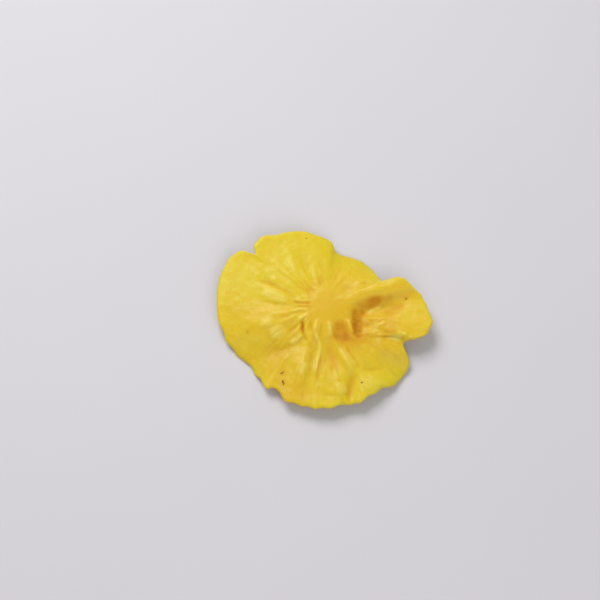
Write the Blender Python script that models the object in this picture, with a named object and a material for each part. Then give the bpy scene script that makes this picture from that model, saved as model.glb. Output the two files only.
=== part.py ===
"""One slice of dried pineapple, lying with its cut face up.

The slice is one solid. A stiff core, cut flat underneath, stands in the middle. Thin flesh spreads
from it to a lobed rim, drooping here and lifting there, with the folds that drying pulled into it.
Metres, +Z up. The origin is the centre of the core's flat underside, which lies on the table.
"""

import math
from dataclasses import dataclass

import bpy
import numpy as np

# Core
CORE_FLAT = 0.0060
CORE_FOOT = 0.0100
CORE_RADIUS = 0.0058
CORE_CENTRE = (0.0014, 0.0000)
CORE_RISE = 0.0007
CORE_EDGE = 0.0044
CORE_SKIRT = 0.0120
CORE_OPEN_SIDE = 325.0
CORE_INSET = 0.3
CORE_MARGIN = 0.0060

# Flesh
FLESH_LEVEL = 0.0073
FLESH_THICKNESS = 0.0030
CORE_TOP = FLESH_LEVEL + 0.5 * FLESH_THICKNESS + CORE_RISE
RIM_THICKNESS = 0.0017
LEAST_FLESH = 0.0009
EDGE_ROUND = 0.0012
DROOP_POWER = 1.6
BROAD_TURNS = (-36.0, -18.0, 0.0, 18.0, 36.0)

# Rim, each point as degrees round from +X, reach from the origin, and height above the table
RIM = (
    (334.6, 0.0379, 0.0052),
    (338.8, 0.0422, 0.0074),
    (345.0, 0.0469, 0.0078),
    (350.1, 0.0469, 0.0078),
    (358.2, 0.0442, 0.0080),
    (4.7, 0.0422, 0.0088),
    (11.2, 0.0388, 0.0098),
    (17.6, 0.0354, 0.0102),
    (19.6, 0.0338, 0.0100),
    (20.6, 0.0302, 0.0086),
    (22.4, 0.0274, 0.0062),
    (36.0, 0.0272, 0.0030),
    (48.1, 0.0274, 0.0010),
    (67.0, 0.0258, 0.0009),
    (75.5, 0.0255, 0.0026),
    (82.5, 0.0295, 0.0044),
    (93.0, 0.0315, 0.0056),
    (108.0, 0.0349, 0.0066),
    (122.0, 0.0368, 0.0072),
    (130.0, 0.0396, 0.0076),
    (136.5, 0.0393, 0.0078),
    (141.8, 0.0363, 0.0074),
    (144.4, 0.0418, 0.0068),
    (153.0, 0.0446, 0.0058),
    (163.1, 0.0450, 0.0052),
    (178.1, 0.0444, 0.0050),
    (190.0, 0.0436, 0.0042),
    (200.1, 0.0426, 0.0028),
    (211.0, 0.0406, 0.0008),
    (222.0, 0.0394, 0.0008),
    (232.1, 0.0409, 0.0028),
    (236.6, 0.0427, 0.0038),
    (240.6, 0.0412, 0.0042),
    (250.4, 0.0437, 0.0050),
    (263.2, 0.0449, 0.0056),
    (274.8, 0.0447, 0.0060),
    (283.8, 0.0444, 0.0050),
    (291.4, 0.0449, 0.0058),
    (298.4, 0.0442, 0.0052),
    (304.5, 0.0442, 0.0042),
    (311.9, 0.0450, 0.0022),
    (319.5, 0.0454, 0.0011),
    (327.0, 0.0435, 0.0032),
)
RAGGED_WAVES = ((17, 0.00022), (29, 0.00020), (43, 0.00014))
SMOOTH_SIDE = 95.0
SMOOTH_SHARE = 0.8
GOLDEN_ANGLE = 2.399963
PATH_STEPS = 6

# Mesh
SEGMENTS = 124
OUTER_RINGS = 18
RING_SPREAD = 1.3
CORE_RINGS = (0.0030, CORE_FLAT, 0.0073)
CROWDED = (334.6, 20.0, 143.0, 284.0, 240.0)
CROWDING = 1.8
CROWD_WIDTH = 7.0

FLESH_COLOUR = (0.79, 0.56, 0.045, 1.0)
FLESH_ROUGHNESS = 0.45


def smooth(share):
    """A smooth step from 0 to 1 as share goes from 0 to 1."""
    held = np.clip(share, 0.0, 1.0)
    return held * held * (3.0 - 2.0 * held)


def traced(path):
    """Points along a smooth curve through the path's own points."""
    ends = np.array([path[0], *path, path[-1]], dtype=float)
    ends[0], ends[-1] = 2 * ends[1] - ends[2], 2 * ends[-2] - ends[-3]
    t = np.linspace(0.0, 1.0, PATH_STEPS, endpoint=False)[:, None]
    runs = []
    for a, b, c, d in zip(ends, ends[1:], ends[2:], ends[3:]):
        bend = (2 * a - 5 * b + 4 * c - d) * t**2 + (3 * b - a - 3 * c + d) * t**3
        runs.append(b + 0.5 * ((c - a) * t + bend))
    return np.concatenate([*runs, ends[-2:-1]])


def measured(path, x, y):
    """How far along the path each point lies, from 0 to 1, and how far to the left of it."""
    line = traced(path)
    steps = np.hypot(*np.diff(line, axis=0).T)
    before = np.concatenate([[0.0], np.cumsum(steps)])
    nearest = np.full(np.shape(x), np.inf)
    along, left = np.zeros_like(nearest), np.zeros_like(nearest)
    for (at_x, at_y), (to_x, to_y), step, done in zip(line, line[1:], steps, before):
        run_x, run_y = (to_x - at_x) / step, (to_y - at_y) / step
        travel = np.clip((x - at_x) * run_x + (y - at_y) * run_y, 0.0, step)
        apart_x, apart_y = x - at_x - travel * run_x, y - at_y - travel * run_y
        apart = np.hypot(apart_x, apart_y)
        closer = apart < nearest
        side = np.where(run_x * apart_y - run_y * apart_x < 0.0, -1.0, 1.0)
        nearest = np.where(closer, apart, nearest)
        along = np.where(closer, (done + travel) / before[-1], along)
        left = np.where(closer, side * apart, left)
    return along, left


@dataclass(frozen=True)
class Fold:
    """A ridge along a curve over the slice, or a groove where its height is below 0."""

    path: tuple
    height: float
    width: float
    spread: float = 1.0
    fade: float = 0.35
    crown: float = 2.0

    def lift(self, x, y):
        """How far the fold raises each point.

        The fold is spread times as wide at its outer end, and a crown above 2 flattens its top.
        """
        along, left = measured(self.path, x, y)
        width = self.width * (1.0 + (self.spread - 1.0) * along)
        ends = smooth(along / self.fade) * smooth((1.0 - along) / self.fade)
        return self.height * ends * np.exp(-(np.abs(left / width) ** self.crown))


@dataclass(frozen=True)
class Lip:
    """A step along a curve, where flesh on its left side stands up and then drops over it."""

    path: tuple
    height: float
    drop: float
    reach: float
    fade: float

    def lift(self, x, y):
        """How far the lip raises each point."""
        along, left = measured(self.path, x, y)
        rise = smooth(left / self.drop + 0.5)
        fall = np.exp(-((np.maximum(left, 0.0) / self.reach) ** 2))
        return self.height * smooth(along / self.fade) * rise * fall


# Folds that bend the whole thickness of the flesh
FOLDS = {
    "right ridge": Fold(
        ((0.0040, 0.0022), (0.0147, 0.0034), (0.0244, 0.0050), (0.0440, 0.0110)),
        0.0021, 0.0036, 1.4, 0.45, 2.8,
    ),
    "ridge shoulder": Fold(((0.0090, 0.0080), (0.0290, 0.0124)), 0.0016, 0.0046, 1.0, 0.45),
    "right valley": Fold(
        ((0.0146, -0.0190), (0.0158, -0.0090), (0.0182, -0.0026), (0.0270, -0.0006), (0.0420, 0.0036)),
        -0.0021, 0.0032, 1.1, 0.5,
    ),
    "valley floor": Fold(
        ((0.0190, -0.0140), (0.0200, -0.0050), (0.0320, -0.0010)), -0.0009, 0.0050, 1.0, 0.5,
    ),
    "right lobe": Fold(((0.0200, -0.0080), (0.0540, -0.0060)), 0.0006, 0.0070),
    "right flap": Fold(((0.0190, -0.0180), (0.0270, -0.0190), (0.0400, -0.0200)), 0.0012, 0.0042, 1.0, 0.3),
    "skirt hollow": Fold(
        ((-0.0140, -0.0180), (0.0020, -0.0210), (0.0190, -0.0190)), -0.0018, 0.0060, 1.0, 0.5,
    ),
    "lower right ridge": Fold(
        ((0.0046, -0.0130), (0.0086, -0.0220), (0.0176, -0.0340)), 0.0013, 0.0018, 1.6, 0.5,
    ),
    "lower left ridge": Fold(
        ((-0.0030, -0.0150), (-0.0074, -0.0260), (-0.0126, -0.0400)), 0.0012, 0.0018, 1.8, 0.5,
    ),
    "lower valley": Fold(
        ((0.0120, -0.0200), (0.0128, -0.0300), (0.0110, -0.0500)), -0.0012, 0.0024, 1.3, 0.5,
    ),
    "bottom swell": Fold(((0.0060, -0.0270), (0.0096, -0.0480)), 0.0010, 0.0030),
    "corner swell": Fold(
        ((0.0110, -0.0420), (0.0230, -0.0350), (0.0340, -0.0270)), 0.0009, 0.0042, 1.0, 0.5,
    ),
    "left cushion": Fold(
        ((-0.0060, -0.0030), (-0.0200, -0.0070), (-0.0400, -0.0100)), 0.0012, 0.0040, 2.0, 0.5,
    ),
    "left hollow": Fold(
        ((-0.0060, -0.0144), (-0.0160, -0.0198), (-0.0320, -0.0226)), -0.0008, 0.0018, 2.0, 0.5,
    ),
    "left ridge": Fold(((-0.0060, 0.0010), (-0.0160, 0.0050), (-0.0300, 0.0096)), 0.0009, 0.0016, 2.2, 0.5),
    "left groove": Fold(((-0.0070, 0.0036), (-0.0300, 0.0136)), -0.0006, 0.0014, 2.0, 0.5),
    "upper left ridge": Fold(
        ((-0.0054, 0.0044), (-0.0130, 0.0120), (-0.0240, 0.0200)), 0.0007, 0.0014, 2.4, 0.5,
    ),
    "upper ridge": Fold(
        ((-0.0040, 0.0066), (-0.0100, 0.0170), (-0.0180, 0.0290)), 0.0006, 0.0013, 2.2, 0.5,
    ),
    "upper groove": Fold(((-0.0026, 0.0070), (-0.0110, 0.0260)), -0.0004, 0.0013, 2.0, 0.5),
}
# Pleats of the upper face alone, where the flesh gathers beside the core
PLEATS = {
    "deep crease": Fold(
        ((-0.0078, -0.0041), (-0.0084, -0.0089), (-0.0065, -0.0163)), -0.0016, 0.0010, 1.0, 0.25,
    ),
    "first drape": Fold(
        ((-0.0064, -0.0050), (-0.0066, -0.0099), (-0.0042, -0.0174), (-0.0034, -0.0206)),
        0.0012, 0.0010, 1.0, 0.2,
    ),
    "first drape crease": Fold(
        ((-0.0046, -0.0038), (-0.0048, -0.0099), (-0.0021, -0.0167), (-0.0009, -0.0211)),
        -0.0010, 0.0009, 1.0, 0.25,
    ),
    "second drape": Fold(
        ((-0.0021, -0.0047), (-0.0031, -0.0108), (-0.0013, -0.0170), (-0.0004, -0.0198)),
        0.0014, 0.0010, 1.0, 0.2,
    ),
    "second drape crease": Fold(
        ((0.0000, -0.0056), (0.0001, -0.0108), (0.0015, -0.0166), (0.0021, -0.0200)),
        -0.0007, 0.0009, 1.0, 0.25,
    ),
    "third drape": Fold(
        ((0.0038, -0.0063), (0.0031, -0.0099), (0.0029, -0.0149)), 0.0014, 0.0013, 1.8, 0.3,
    ),
    "brown hollow": Fold(
        ((0.0063, -0.0063), (0.0080, -0.0115), (0.0088, -0.0176)), -0.0014, 0.0022, 1.5, 0.4,
    ),
    "fourth drape": Fold(
        ((0.0101, -0.0040), (0.0119, -0.0106), (0.0131, -0.0134)), 0.0014, 0.0011, 1.0, 0.25,
    ),
    "side hollow": Fold(((0.0147, 0.0019), (0.0137, -0.0031), (0.0155, -0.0142)), -0.0010, 0.0014),
    "valley corner": Fold(
        ((0.0141, -0.0069), (0.0149, -0.0099), (0.0153, -0.0133)), -0.0009, 0.0015, 1.0, 0.3,
    ),
    "first fan ridge": Fold(((0.0185, -0.0035), (0.0227, -0.0012), (0.0254, 0.0002)), 0.0009, 0.0011),
    "second fan ridge": Fold(((0.0168, -0.0049), (0.0235, -0.0056), (0.0265, -0.0049)), 0.0006, 0.0011),
    "third fan ridge": Fold(((0.0179, -0.0134), (0.0214, -0.0103), (0.0290, -0.0075)), 0.0010, 0.0013),
    "long ridge": Fold(
        ((-0.0002, -0.0151), (-0.0011, -0.0220), (-0.0027, -0.0352)), 0.0012, 0.0010, 1.0, 0.2,
    ),
    "long crease": Fold(
        ((0.0004, -0.0180), (-0.0009, -0.0249), (-0.0021, -0.0357)), -0.0009, 0.0009, 1.0, 0.25,
    ),
    "left wedge": Fold(
        ((-0.0046, -0.0170), (-0.0080, -0.0256), (-0.0118, -0.0330)), 0.0011, 0.0022, 1.0, 0.3,
    ),
    "right wedge": Fold(
        ((0.0059, -0.0164), (0.0101, -0.0229), (0.0155, -0.0287)), 0.0011, 0.0018, 1.0, 0.25,
    ),
    "streaky hollow": Fold(((0.0126, -0.0283), (0.0118, -0.0361), (0.0109, -0.0437)), -0.0009, 0.0016),
    "bottom blob": Fold(((0.0029, -0.0331), (0.0067, -0.0360), (0.0101, -0.0385)), 0.0013, 0.0024),
    "corner blob": Fold(((0.0160, -0.0326), (0.0218, -0.0344), (0.0286, -0.0314)), 0.0009, 0.0028),
    "left pleat": Fold(
        ((-0.0273, 0.0065), (-0.0185, 0.0034), (-0.0126, 0.0011)), 0.0010, 0.0017, 1.0, 0.25,
    ),
    "upper pleat": Fold(
        ((-0.0244, 0.0144), (-0.0168, 0.0102), (-0.0076, 0.0062)), 0.0008, 0.0022, 1.0, 0.3,
    ),
    "ledge ridge": Fold(
        ((-0.0193, -0.0175), (-0.0139, -0.0161), (-0.0092, -0.0126)), 0.0012, 0.0012, 1.0, 0.25,
    ),
}
RIGHT_LIP = Lip(
    ((0.0150, -0.0142), (0.0240, -0.0139), (0.0306, -0.0138), (0.0340, -0.0152), (0.0370, -0.0190)),
    0.0013, 0.0010, 0.0040, 0.7,
)

# Small gathers all round the core, on both faces
GATHERS = 29
GATHER_HEIGHT = 0.00032
GATHER_FROM = 0.0058
GATHER_PEAK = 0.0105
GATHER_FADE = 0.0070
GATHER_STRONG_SIDE = 200.0
UNDERSIDE_TURN = 1.3


def gathers(distance, degrees, turned):
    """Small uneven pleats that radiate from the core, strongest to the lower left of it."""
    turn = np.radians(degrees)
    bent = turn + 0.05 * np.sin(5 * turn + turned) + 0.03 * np.sin(11 * turn + 2 * turned)
    bent = bent + 6.0 * (distance - GATHER_FROM) * np.sin(3 * turn + turned)
    strength = 0.6 + 0.4 * np.cos(turn - math.radians(GATHER_STRONG_SIDE))
    rise = smooth((distance - GATHER_FROM) / (GATHER_PEAK - GATHER_FROM))
    fall = np.exp(-((np.maximum(distance - GATHER_PEAK, 0.0) / GATHER_FADE) ** 2))
    return GATHER_HEIGHT * strength * rise * fall * np.sin(GATHERS * bent + turned)


def around(degrees, column):
    """The rim's reach (column 1) or height (column 2) at each angle, on a curve with no overshoot."""
    knots = sorted(RIM)
    at = np.array([knot[0] for knot in knots])
    value = np.array([knot[column] for knot in knots])
    gap = np.diff(np.append(at, at[0] + 360.0))
    slope = np.diff(np.append(value, value[0])) / gap
    before = np.roll(slope, 1)
    same_way = before * slope > 0
    total = np.where(same_way, before + slope, 1.0)
    lean = np.where(same_way, 2.0 * before * slope / total, 0.0)
    turned = (np.asarray(degrees) - at[0]) % 360.0
    place = np.searchsorted(at - at[0], turned, side="right") - 1
    following = (place + 1) % len(at)
    t = (turned - (at - at[0])[place]) / gap[place]
    run = gap[place]
    return (
        value[place] * (1 + 2 * t) * (1 - t) ** 2
        + lean[place] * run * t * (1 - t) ** 2
        + value[following] * t**2 * (3 - 2 * t)
        + lean[following] * run * t**2 * (t - 1)
    )


def ragged(degrees):
    """The small scallops that the trimmed eyes leave along the rim, least on its smooth upper side."""
    turn = np.radians(degrees)
    scallops = sum(
        height * np.sin(waves * turn + GOLDEN_ANGLE * waves)
        for waves, height in RAGGED_WAVES
    )
    calm = smooth(0.5 + 0.9 * np.cos(turn - math.radians(SMOOTH_SIDE)))
    return (1.0 - SMOOTH_SHARE * calm) * scallops


def mid_height(x, y, degrees):
    """The height of the middle of the flesh: broad bends inside, the rim's own height at the rim."""
    distance = np.hypot(x, y)
    reach = around(degrees, 1)
    share = np.clip((distance - CORE_RADIUS) / (reach - CORE_RADIUS), 0.0, 1.0)
    broad = sum(around(degrees + turn, 2) for turn in BROAD_TURNS) / len(BROAD_TURNS)
    edge = share * share
    rim = edge * around(degrees, 2) + (1.0 - edge) * broad
    droop = share**DROOP_POWER * (rim - FLESH_LEVEL)
    bends = sum(fold.lift(x, y) for fold in FOLDS.values()) + RIGHT_LIP.lift(x, y)
    away_from_core = smooth((distance - 0.5 * CORE_RADIUS) / CORE_MARGIN)
    return FLESH_LEVEL + droop + away_from_core * bends


def core_swell(x, y):
    """How much of the core's rise each point has: it ends steeply at the upper left and gently opposite."""
    apart_x, apart_y = x - CORE_CENTRE[0], y - CORE_CENTRE[1]
    side = np.cos(np.arctan2(apart_y, apart_x) - math.radians(CORE_OPEN_SIDE))
    width = CORE_EDGE + (CORE_SKIRT - CORE_EDGE) * smooth(0.5 + 0.5 * side)
    outside = (np.hypot(apart_x, apart_y) - CORE_RADIUS) / width
    return 1.0 - smooth(outside + CORE_INSET)


def surfaces(x, y, degrees, rim_gap):
    """Heights of the upper and lower face, given each point's distance in from the rim."""
    distance = np.hypot(x, y)
    middle = np.maximum(mid_height(x, y, degrees), 0.5 * LEAST_FLESH)
    share = smooth(distance / around(degrees, 1))
    thickness = FLESH_THICKNESS + (RIM_THICKNESS - FLESH_THICKNESS) * share
    inward = np.clip(rim_gap / EDGE_ROUND, 0.0, 1.0)
    half = 0.5 * thickness * np.sqrt(1.0 - (1.0 - inward) ** 2)
    inner = smooth(0.5 * inward)
    pleats = sum(pleat.lift(x, y) for pleat in PLEATS.values())
    skin = pleats + gathers(distance, degrees, 0.0)
    upper = middle + half + CORE_RISE * core_swell(x, y) + inner * skin
    foot = 1.0 - smooth((distance - CORE_FLAT) / CORE_FOOT)
    lower = (middle - half + inner * gathers(distance, degrees, UNDERSIDE_TURN)) * (1.0 - foot)
    lower = np.maximum(lower, 0.0)
    return np.maximum(upper, lower + LEAST_FLESH * inward), lower


def segment_angles():
    """Angles of the mesh's spokes in degrees, closer together beside the notches and folds."""
    fine = np.linspace(0.0, 360.0, 3601)
    density = np.ones_like(fine)
    for place in CROWDED:
        apart = (fine - place + 180.0) % 360.0 - 180.0
        density += CROWDING * np.exp(-((apart / CROWD_WIDTH) ** 2))
    total = np.concatenate([[0.0], np.cumsum(0.5 * (density[1:] + density[:-1]))])
    wanted = np.arange(SEGMENTS) / SEGMENTS * total[-1]
    return np.interp(wanted, total, fine)


def ring_distances(reach):
    """Distances of the rings from the axis, one row a ring, with the last ring on the rim."""
    core = [np.full_like(reach, radius) for radius in CORE_RINGS]
    inner, outer = CORE_RINGS[-1], reach - EDGE_ROUND
    steps = np.arange(1, OUTER_RINGS + 1) / OUTER_RINGS
    spread = [inner + (outer - inner) * step**RING_SPREAD for step in steps]
    edge = [reach - 0.35 * EDGE_ROUND, reach]
    return np.array(core + spread + edge)


def slice_points():
    """Points of the upper face, then of the lower one without the rim that they share."""
    degrees = segment_angles()
    reach = around(degrees, 1) + ragged(degrees)
    distance = ring_distances(reach)
    turn = np.radians(degrees)
    x, y = distance * np.cos(turn), distance * np.sin(turn)
    upper, lower = surfaces(x, y, np.broadcast_to(degrees, x.shape), reach - distance)
    top = np.stack([x, y, upper], axis=-1)
    bottom = np.stack([x, y, lower], axis=-1)[:-1]
    top[-1, :, 2] = np.maximum(0.5 * (upper[-1] + lower[-1]), 0.5 * LEAST_FLESH)
    return top, bottom


def slice_mesh(name):
    """The closed mesh of the slice: two faces of rings and spokes that meet at the rim."""
    top, bottom = slice_points()
    rings, spokes = len(top), SEGMENTS
    points = [(0.0, 0.0, CORE_TOP)]
    points += [tuple(point) for ring in top for point in ring]
    bottom_centre = len(points)
    points.append((0.0, 0.0, 0.0))
    points += [tuple(point) for ring in bottom for point in ring]

    def upper_at(ring, spoke):
        return 1 + ring * spokes + spoke % spokes

    def lower_at(ring, spoke):
        if ring == rings - 1:
            return upper_at(ring, spoke)
        return bottom_centre + 1 + ring * spokes + spoke % spokes

    faces = []
    for spoke in range(spokes):
        faces.append((0, upper_at(0, spoke), upper_at(0, spoke + 1)))
        faces.append((bottom_centre, lower_at(0, spoke + 1), lower_at(0, spoke)))
        for ring in range(rings - 1):
            for at, order in ((upper_at, 1), (lower_at, -1)):
                here, out = at(ring, spoke), at(ring + 1, spoke)
                beyond, beside = at(ring + 1, spoke + 1), at(ring, spoke + 1)
                faces.append((here, out, beyond)[::order])
                faces.append((here, beyond, beside)[::order])
    mesh = bpy.data.meshes.new(name)
    mesh.from_pydata(points, [], faces)
    mesh.shade_smooth()
    mesh.validate()
    return mesh


def flesh_material():
    """Golden dried flesh, a little glossy."""
    material = bpy.data.materials.new("dried_flesh")
    material.use_nodes = True
    shader = material.node_tree.nodes["Principled BSDF"]
    shader.inputs["Base Color"].default_value = FLESH_COLOUR
    shader.inputs["Roughness"].default_value = FLESH_ROUGHNESS
    shader.inputs["Metallic"].default_value = 0.0
    return material


def main():
    """Clears the scene and models the slice."""
    for thing in list(bpy.data.objects):
        bpy.data.objects.remove(thing)
    mesh = slice_mesh("slice")
    mesh.materials.append(flesh_material())
    bpy.context.scene.collection.objects.link(bpy.data.objects.new("slice", mesh))


if __name__ == "__main__":
    main()
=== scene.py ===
"""One slice of dried pineapple, dressed and lit for its portrait.

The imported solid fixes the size, the place and the main folds. The slice that shows here stands for
it: the same form with its finer pleats, creases, fibres and dark eye remnants. Metres, +Z up.
"""

from __future__ import annotations

import logging
import math
from dataclasses import dataclass, field
from enum import Enum
from typing import Any, Sequence, Union

import bpy
import numpy as np
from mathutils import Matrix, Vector


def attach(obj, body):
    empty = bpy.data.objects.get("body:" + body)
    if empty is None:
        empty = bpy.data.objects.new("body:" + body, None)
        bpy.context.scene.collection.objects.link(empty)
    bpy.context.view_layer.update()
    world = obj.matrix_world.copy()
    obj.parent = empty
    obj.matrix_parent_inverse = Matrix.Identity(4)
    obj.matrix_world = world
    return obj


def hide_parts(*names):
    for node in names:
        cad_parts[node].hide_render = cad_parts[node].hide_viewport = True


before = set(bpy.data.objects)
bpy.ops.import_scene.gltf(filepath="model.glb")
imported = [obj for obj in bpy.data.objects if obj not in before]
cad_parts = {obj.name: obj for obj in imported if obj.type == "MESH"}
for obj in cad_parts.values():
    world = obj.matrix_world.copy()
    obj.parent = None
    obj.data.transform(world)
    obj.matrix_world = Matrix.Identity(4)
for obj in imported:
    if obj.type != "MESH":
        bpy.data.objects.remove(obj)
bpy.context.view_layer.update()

NODE = "slice"
BODY = "root"
LOG = logging.getLogger("slice")

Array = np.ndarray
Point = tuple[float, float]
Colour = tuple[float, float, float]


def smooth(share: Array) -> Array:
    """A smooth step from 0 to 1 as share goes from 0 to 1."""
    held = np.clip(share, 0.0, 1.0)
    return held * held * (3.0 - 2.0 * held)


class Face(Enum):
    """The two faces of the slice."""

    UPPER = 1
    LOWER = -1


@dataclass(frozen=True)
class Path:
    """A smooth curve over the plan of the slice, through a few points."""

    points: tuple[Point, ...]
    steps: int = 7

    def traced(self) -> Array:
        """Points along the curve, close enough to be joined by straight lines."""
        ends = np.array([self.points[0], *self.points, self.points[-1]], dtype=float)
        ends[0], ends[-1] = 2 * ends[1] - ends[2], 2 * ends[-2] - ends[-3]
        t = np.linspace(0.0, 1.0, self.steps, endpoint=False)[:, None]
        runs = []
        for a, b, c, d in zip(ends, ends[1:], ends[2:], ends[3:]):
            bend = (2 * a - 5 * b + 4 * c - d) * t**2 + (3 * b - a - 3 * c + d) * t**3
            runs.append(b + 0.5 * ((c - a) * t + bend))
        return np.concatenate([*runs, ends[-2:-1]])

    def measured(self, x: Array, y: Array) -> tuple[Array, Array]:
        """Where points lie beside the curve.

        Args:
            x: The points' places along +X.
            y: The points' places along +Y.

        Returns:
            How far along the curve each point lies, from 0 to 1, and how far to the left of it.
        """
        line = self.traced()
        steps = np.hypot(*np.diff(line, axis=0).T)
        before = np.concatenate([[0.0], np.cumsum(steps)])
        nearest = np.full(np.shape(x), np.inf)
        along, left = np.zeros_like(nearest), np.zeros_like(nearest)
        for (at_x, at_y), (to_x, to_y), step, done in zip(line, line[1:], steps, before):
            run_x, run_y = (to_x - at_x) / step, (to_y - at_y) / step
            travel = np.clip((x - at_x) * run_x + (y - at_y) * run_y, 0.0, step)
            apart_x, apart_y = x - at_x - travel * run_x, y - at_y - travel * run_y
            apart = np.hypot(apart_x, apart_y)
            closer = apart < nearest
            side = np.where(run_x * apart_y - run_y * apart_x < 0.0, -1.0, 1.0)
            nearest = np.where(closer, apart, nearest)
            along = np.where(closer, (done + travel) / before[-1], along)
            left = np.where(closer, side * apart, left)
        return along, left


class Relief:
    """Something that raises or lowers the flesh near a curve or a spot, and may tint it.

    A tint above 0 is a painted highlight, pale as on a shiny crest, and one below 0 is painted shade, as in
    hollows, creases and under ridges; around the eye pits it is the rind's own brown stain.
    """

    height: float
    tint: float

    def reach(self) -> float:
        """How far from its points the relief can still be felt."""
        raise NotImplementedError

    def spots(self) -> Array:
        """Points that the relief lies along."""
        raise NotImplementedError

    def shape(self, x: Array, y: Array) -> Array:
        """The relief's profile at points near it, from 0 to 1."""
        raise NotImplementedError

    def weight(self, x: Array, y: Array) -> Array:
        """The relief's profile anywhere.

        Args:
            x: The points' places along +X.
            y: The points' places along +Y.

        Returns:
            The profile at each point, worked out only where the relief can be felt.
        """
        spots, reach = self.spots(), self.reach()
        low, high = spots.min(axis=0) - reach, spots.max(axis=0) + reach
        near = (x > low[0]) & (x < high[0]) & (y > low[1]) & (y < high[1])
        weight = np.zeros(np.shape(x))
        if near.any():
            weight[near] = self.shape(x[near], y[near])
        return weight

    def lift(self, x: Array, y: Array) -> Array:
        """How far the relief raises each point."""
        return self.height * self.weight(x, y)


@dataclass(frozen=True)
class Fold(Relief):
    """A ridge along a curve, or a groove where its height is below 0."""

    path: tuple[Point, ...]
    height: float
    width: float
    spread: float = 1.0
    fade: float = 0.35
    crown: float = 2.0
    tint: float = 0.0

    def reach(self) -> float:
        """Three widths of the fold's wider end."""
        return 3.0 * self.width * max(1.0, self.spread)

    def spots(self) -> Array:
        """Points along the fold."""
        return Path(self.path).traced()

    def shape(self, x: Array, y: Array) -> Array:
        """A rounded profile, or a flat-topped one with a high crown, fading at both ends."""
        along, left = Path(self.path).measured(x, y)
        width = self.width * (1.0 + (self.spread - 1.0) * along)
        ends = smooth(along / self.fade) * smooth((1.0 - along) / self.fade)
        return ends * np.exp(-(np.abs(left / width) ** self.crown))


@dataclass(frozen=True)
class Crease(Relief):
    """A narrow groove with sharp lips, where two swells of flesh press together."""

    path: tuple[Point, ...]
    height: float
    width: float
    fade: float = 0.4
    tint: float = 0.0

    def reach(self) -> float:
        """Eight widths, because the crease's shoulders are long."""
        return 8.0 * self.width

    def spots(self) -> Array:
        """Points along the crease."""
        return Path(self.path).traced()

    def shape(self, x: Array, y: Array) -> Array:
        """A cusp along the curve."""
        along, left = Path(self.path).measured(x, y)
        ends = smooth(along / self.fade) * smooth((1.0 - along) / self.fade)
        return ends * np.exp(-np.abs(left) / self.width)


@dataclass(frozen=True)
class Lip(Relief):
    """A step along a curve, where flesh on its left side stands up and then drops over it."""

    path: tuple[Point, ...]
    height: float
    drop: float
    extent: float
    fade: float
    tint: float = 0.0

    def reach(self) -> float:
        """Three times as far as the raised flesh extends."""
        return 3.0 * self.extent

    def spots(self) -> Array:
        """Points along the lip."""
        return Path(self.path).traced()

    def shape(self, x: Array, y: Array) -> Array:
        """A step that falls away gently on its raised side."""
        along, left = Path(self.path).measured(x, y)
        rise = smooth(left / self.drop + 0.5)
        fall = np.exp(-((np.maximum(left, 0.0) / self.extent) ** 2))
        return smooth(along / self.fade) * rise * fall


@dataclass(frozen=True)
class Spot(Relief):
    """A small round bump, or a pit where its height is below 0."""

    place: Point
    height: float
    radius: float
    tint: float = 0.0

    def reach(self) -> float:
        """Three radii."""
        return 3.0 * self.radius

    def spots(self) -> Array:
        """The bump's own place."""
        return np.array([self.place])

    def shape(self, x: Array, y: Array) -> Array:
        """A rounded bump."""
        apart = np.hypot(x - self.place[0], y - self.place[1])
        return np.exp(-((apart / self.radius) ** 2))


@dataclass(frozen=True)
class Unevenness:
    """Smooth seeded noise on a lattice that closes on itself in its first direction."""

    wrap: int
    seed: int
    rows: int = 64

    def at(self, u: Array, v: Array) -> Array:
        """The noise at each place.

        Args:
            u: Places round the lattice, in cells; it repeats after wrap cells.
            v: Places across the lattice, in cells.

        Returns:
            Values from -1 to 1.
        """
        lattice = np.random.default_rng(self.seed).uniform(-1.0, 1.0, (self.wrap, self.rows))
        cell_u, cell_v = np.floor(u).astype(int), np.floor(v).astype(int)
        share_u, share_v = smooth(u - cell_u), smooth(v - cell_v)

        def corner(step_u: int, step_v: int) -> Array:
            """The lattice's value at one corner of each place's cell."""
            return lattice[(cell_u + step_u) % self.wrap, (cell_v + step_v) % self.rows]

        near = corner(0, 0) * (1.0 - share_u) + corner(1, 0) * share_u
        far = corner(0, 1) * (1.0 - share_u) + corner(1, 1) * share_u
        return near * (1.0 - share_v) + far * share_v


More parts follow.
